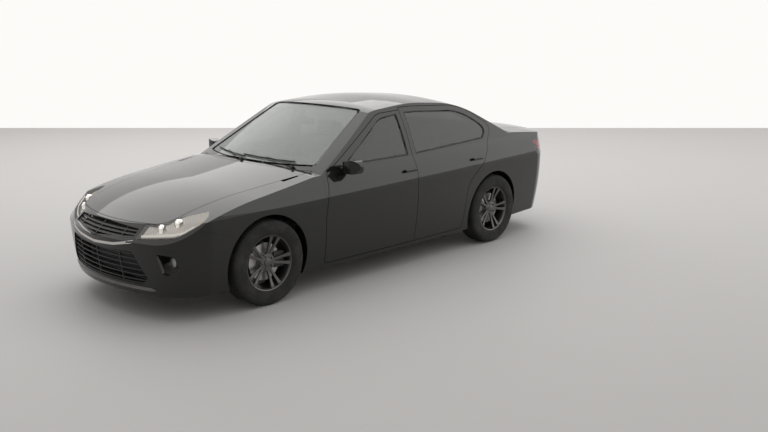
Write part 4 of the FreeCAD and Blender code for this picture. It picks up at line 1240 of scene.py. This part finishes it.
class SEDAN_OT_cabin(bpy.types.Operator):
    """Steering wheel, air vents, screen, inside mirror and gear knob"""

    bl_idname = "sedan.cabin"
    bl_label = "Cabin detail"

    def execute(self, context):
        finished(steering_wheel(), "soft_dash", "steering_wheel", ["steering_wheel"])
        finished(air_vents(), "black_plastic", "car")
        y = touch("dashboard", (0, 0.0, 0.80), (0, -1, 0)).y
        screen = block("centre_screen", (-0.115, y - 0.008, 0.745), (0.115, y + 0.008, 0.835))
        finished(soften(screen, 0.004, 3), "gloss_black", "car")
        roof = touch("windscreen", (0, -0.36, 0), (0, 0, 1)).z
        glass = block("inside_mirror", (-0.115, -0.335, roof - 0.095), (0.115, -0.312, roof - 0.035))
        stem = rod("stem", (0, -0.345, roof - 0.002), (0, -0.325, roof - 0.06), 0.008, 12)
        mirror = joined("inside_mirror", [soften(glass, 0.010, 3), stem])
        finished(mirror, "black_plastic", "car")
        top = touch("dashboard", (0, -0.20, 1.5), (0, 0, -1))
        stick = rod("knob_stem", top + Vector((0, 0, -0.005)), top + Vector((0, 0.02, 0.075)), 0.008, 16)
        head = block("knob", (-0.020, -0.205, top.z + 0.062), (0.020, -0.150, top.z + 0.100))
        knob = joined("gear_knob", [stick, soften(head, 0.014, 4)])
        finished(knob, "gloss_black", "car")
        return {"FINISHED"}


class SEDAN_OT_door_cards(bpy.types.Operator):
    """Trim panel and armrest on the inner side of each door"""

    bl_idname = "sedan.door_cards"
    bl_label = "Door trims"

    def execute(self, context):
        cards = {
            "front": [(-0.79, 0.31), (0.09, 0.31), (0.09, 0.90), (-0.79, 0.90)],
            "rear": [(0.29, 0.31), (0.78, 0.31), (0.80, 0.60), (0.93, 0.78), (1.04, 0.90), (0.29, 0.90)],
        }
        rests = {
            "front": [(-0.50, 0.615), (-0.02, 0.615), (-0.02, 0.665), (-0.50, 0.690)],
            "rear": [(0.34, 0.615), (0.72, 0.615), (0.72, 0.665), (0.34, 0.690)],
        }
        for row in ("front", "rear"):
            node, body = f"door_{row}_left", f"door_{row[0]}l"
            card = laid("card", cards[row], node, "cabin", 0.005, CARD_STEP)
            both(card, f"door_card_{row}", "soft_dash", body)
            rest = laid("rest", rests[row], node, "cabin", 0.045, CARD_STEP)
            both(rest, f"armrest_{row}", "seat_cloth", body)
        return {"FINISHED"}


class SEDAN_OT_engine(bpy.types.Operator):
    """Ribbed cover and filler cap under the hood, and the radiator and undertray behind the grilles"""

    bl_idname = "sedan.engine"
    bl_label = "Engine detail"

    def execute(self, context):
        top = top_of("engine").z
        cover = block("engine_cover", (-0.235, -1.68, top - 0.012), (0.235, -1.30, top + 0.014))
        pick(cover, "FACE", lambda f: f.normal.z > 0.9)
        bpy.ops.mesh.inset(thickness=0.02, depth=0.008)
        bpy.ops.mesh.inset(thickness=0.03, depth=-0.006)
        done()
        pieces = [soften(cover, 0.006, 3)]
        for i in range(6):
            x = -0.17 + i * 0.068
            rib = block("rib", (x, -1.62, top + 0.012), (x + 0.02, -1.36, top + 0.022))
            pieces.append(soften(rib, 0.003))
        finished(joined("engine_cover", pieces), "black_plastic", "car")
        cap = rod("filler_cap", (0.19, -1.25, top - 0.01), (0.19, -1.25, top + 0.02), 0.026, 12)
        finished(soften(cap, 0.004), "gloss_black", "car")
        core = block("radiator", (-0.50, -2.205, 0.235), (0.50, -2.170, 0.64))
        pick(core, "FACE", lambda f: abs(f.normal.y) > 0.9)
        bpy.ops.mesh.inset(thickness=0.02, depth=0)
        bpy.ops.mesh.inset(thickness=0.002, depth=-0.006)
        done()
        finished(soften(core, 0.002, 1), "black_plastic", "car")
        edge = []
        for i in range(-4, 5):
            x = TRAY_HALF * i / 4
            edge.append((x, front_of("front_bumper", x, 0.240).y + 0.030, TRAY_Z))
        edge += [(TRAY_HALF, TRAY_BACK, TRAY_Z), (-TRAY_HALF, TRAY_BACK, TRAY_Z)]
        tray = drawn("undertray", edge, closed=True)
        modify(tray, "SOLIDIFY", thickness=0.005, offset=0)
        finished(smooth(outward(tray)), "black_plastic", "car")
        return {"FINISHED"}


# Stage
def lay_floor(colour, ahead):
    """A pale floor that grows paler away from the camera and ends where the photograph's does."""
    ground = Finish("studio_floor", roughness=0.6)
    x, y, z = ground.axes()
    # Painted light: this colour gradient stands in for the room's light, darker near the camera and paler far
    # away; the faint noise is the floor's own uneven tone
    away = (x * ahead.x + y * ahead.y).smooth(-7.0, 10.0) * 0.9 + ground.noise(0.6, 3) * 0.1
    ground.set(base_color=ground.blend(away, shade(colour, FLOOR_NEAR_PAINTED_SHADE), shade(colour, FLOOR_FAR_PAINTED_LIGHT)))
    ground.set(normal=ground.bump(ground.noise(40, 3), 0.0005, 0.3))
    clear_selection()
    centre = ahead * (Vector(CAMERA_SPOT).dot(ahead) + FLOOR_END - FLOOR_SIZE / 2)
    turn = (0, 0, math.radians(CAMERA_YAW))
    bpy.ops.mesh.primitive_plane_add(size=FLOOR_SIZE, location=centre, rotation=turn)
    floor = settle(added("floor"))
    floor.data.materials.append(Finish.made["studio_floor"])


def light_room(scene, colour):
    """A world that the camera, gloss and glass see at full strength, and two soft lights."""
    world = bpy.data.worlds.new("studio")
    scene.world = world
    world.use_nodes = True
    tree = world.node_tree
    background = tree.nodes["Background"]
    background.inputs["Color"].default_value = (*colour, 1)
    seen = add_node(tree, "ShaderNodeLightPath", output="Is Camera Ray")
    rays = seen.socket.node.outputs
    seen = seen + Value(tree, rays["Is Glossy Ray"])
    seen = seen + Value(tree, rays["Is Transmission Ray"])
    strength = (seen * (1.0 - ROOM_LIGHT) + ROOM_LIGHT).at_most(1.0)
    tree.links.new(strength.socket, background.inputs["Strength"])
    for name, spot, size, energy in SOFT_LIGHTS:
        data = bpy.data.lights.new(name, "AREA")
        data.shape = "DISK"
        data.size = size
        data.energy = energy
        lamp = bpy.data.objects.new(name, data)
        lamp.location = spot
        lamp.visible_camera = False
        lamp.rotation_mode = "QUATERNION"
        lamp.rotation_quaternion = (Vector(LIT_SPOT) - Vector(spot)).to_track_quat("-Z", "Y")
        scene.collection.objects.link(lamp)


def set_camera(scene, ahead):
    data = bpy.data.cameras.new("camera")
    camera = bpy.data.objects.new("camera", data)
    scene.collection.objects.link(camera)
    pitch = math.radians(CAMERA_PITCH)
    look = ahead * math.cos(pitch) - Vector((0, 0, math.sin(pitch)))
    camera.location = CAMERA_SPOT
    camera.rotation_mode = "QUATERNION"
    camera.rotation_quaternion = look.to_track_quat("-Z", "Y")
    data.sensor_width = SENSOR_WIDTH
    data.lens = SENSOR_WIDTH * CAMERA_FOCAL_PIXELS / PICTURE_WIDTH
    scene.camera = camera


class SEDAN_OT_stage(bpy.types.Operator):
    """Pale floor, backdrop, soft lights and the camera"""

    bl_idname = "sedan.stage"
    bl_label = "Stage"

    def execute(self, context):
        colours = context.scene.sedan_colours
        yaw = math.radians(CAMERA_YAW)
        ahead = Vector((-math.sin(yaw), math.cos(yaw), 0))
        lay_floor(tuple(colours.floor), ahead)
        light_room(context.scene, tuple(colours.backdrop))
        set_camera(context.scene, ahead)
        context.scene.view_settings.view_transform = "Standard"
        return {"FINISHED"}


PIECES = [
    SEDAN_OT_body,
    SEDAN_OT_tyres,
    SEDAN_OT_rims,
    SEDAN_OT_discs,
    SEDAN_OT_glazing,
    SEDAN_OT_headlamps,
    SEDAN_OT_nose,
    SEDAN_OT_tail,
    SEDAN_OT_mirrors,
    SEDAN_OT_wipers,
    SEDAN_OT_seats,
    SEDAN_OT_cabin,
    SEDAN_OT_door_cards,
    SEDAN_OT_engine,
    SEDAN_OT_stage,
]


class SEDAN_PT_panel(bpy.types.Panel):
    """Lists the pieces of the sedan and their sizes and colours"""

    bl_label = "Sedan"
    bl_idname = "SEDAN_PT_panel"
    bl_space_type = "VIEW_3D"
    bl_region_type = "UI"
    bl_category = "Sedan"

    def draw(self, context):
        for group in (context.scene.sedan_sizes, context.scene.sedan_colours):
            for key in group.__annotations__:
                self.layout.prop(group, key)
        for piece in PIECES:
            self.layout.operator(piece.bl_idname)


CLASSES = [SedanSizes, SedanColours, *PIECES, SEDAN_PT_panel]


def register():
    for cls in CLASSES:
        bpy.utils.register_class(cls)
    bpy.types.Scene.sedan_sizes = PointerProperty(type=SedanSizes)
    bpy.types.Scene.sedan_colours = PointerProperty(type=SedanColours)


def unregister():
    del bpy.types.Scene.sedan_colours
    del bpy.types.Scene.sedan_sizes
    for cls in reversed(CLASSES):
        bpy.utils.unregister_class(cls)


def main():
    register()
    bpy.ops.sedan.body()
    bpy.ops.sedan.tyres()
    bpy.ops.sedan.rims()
    bpy.ops.sedan.discs()
    bpy.ops.sedan.glazing()
    bpy.ops.sedan.headlamps()
    bpy.ops.sedan.nose()
    bpy.ops.sedan.tail()
    bpy.ops.sedan.mirrors()
    bpy.ops.sedan.wipers()
    bpy.ops.sedan.seats()
    bpy.ops.sedan.cabin()
    bpy.ops.sedan.door_cards()
    bpy.ops.sedan.engine()
    bpy.ops.sedan.stage()
    clear_selection()
    bpy.context.view_layer.update()


if __name__ == "__main__":
    main()
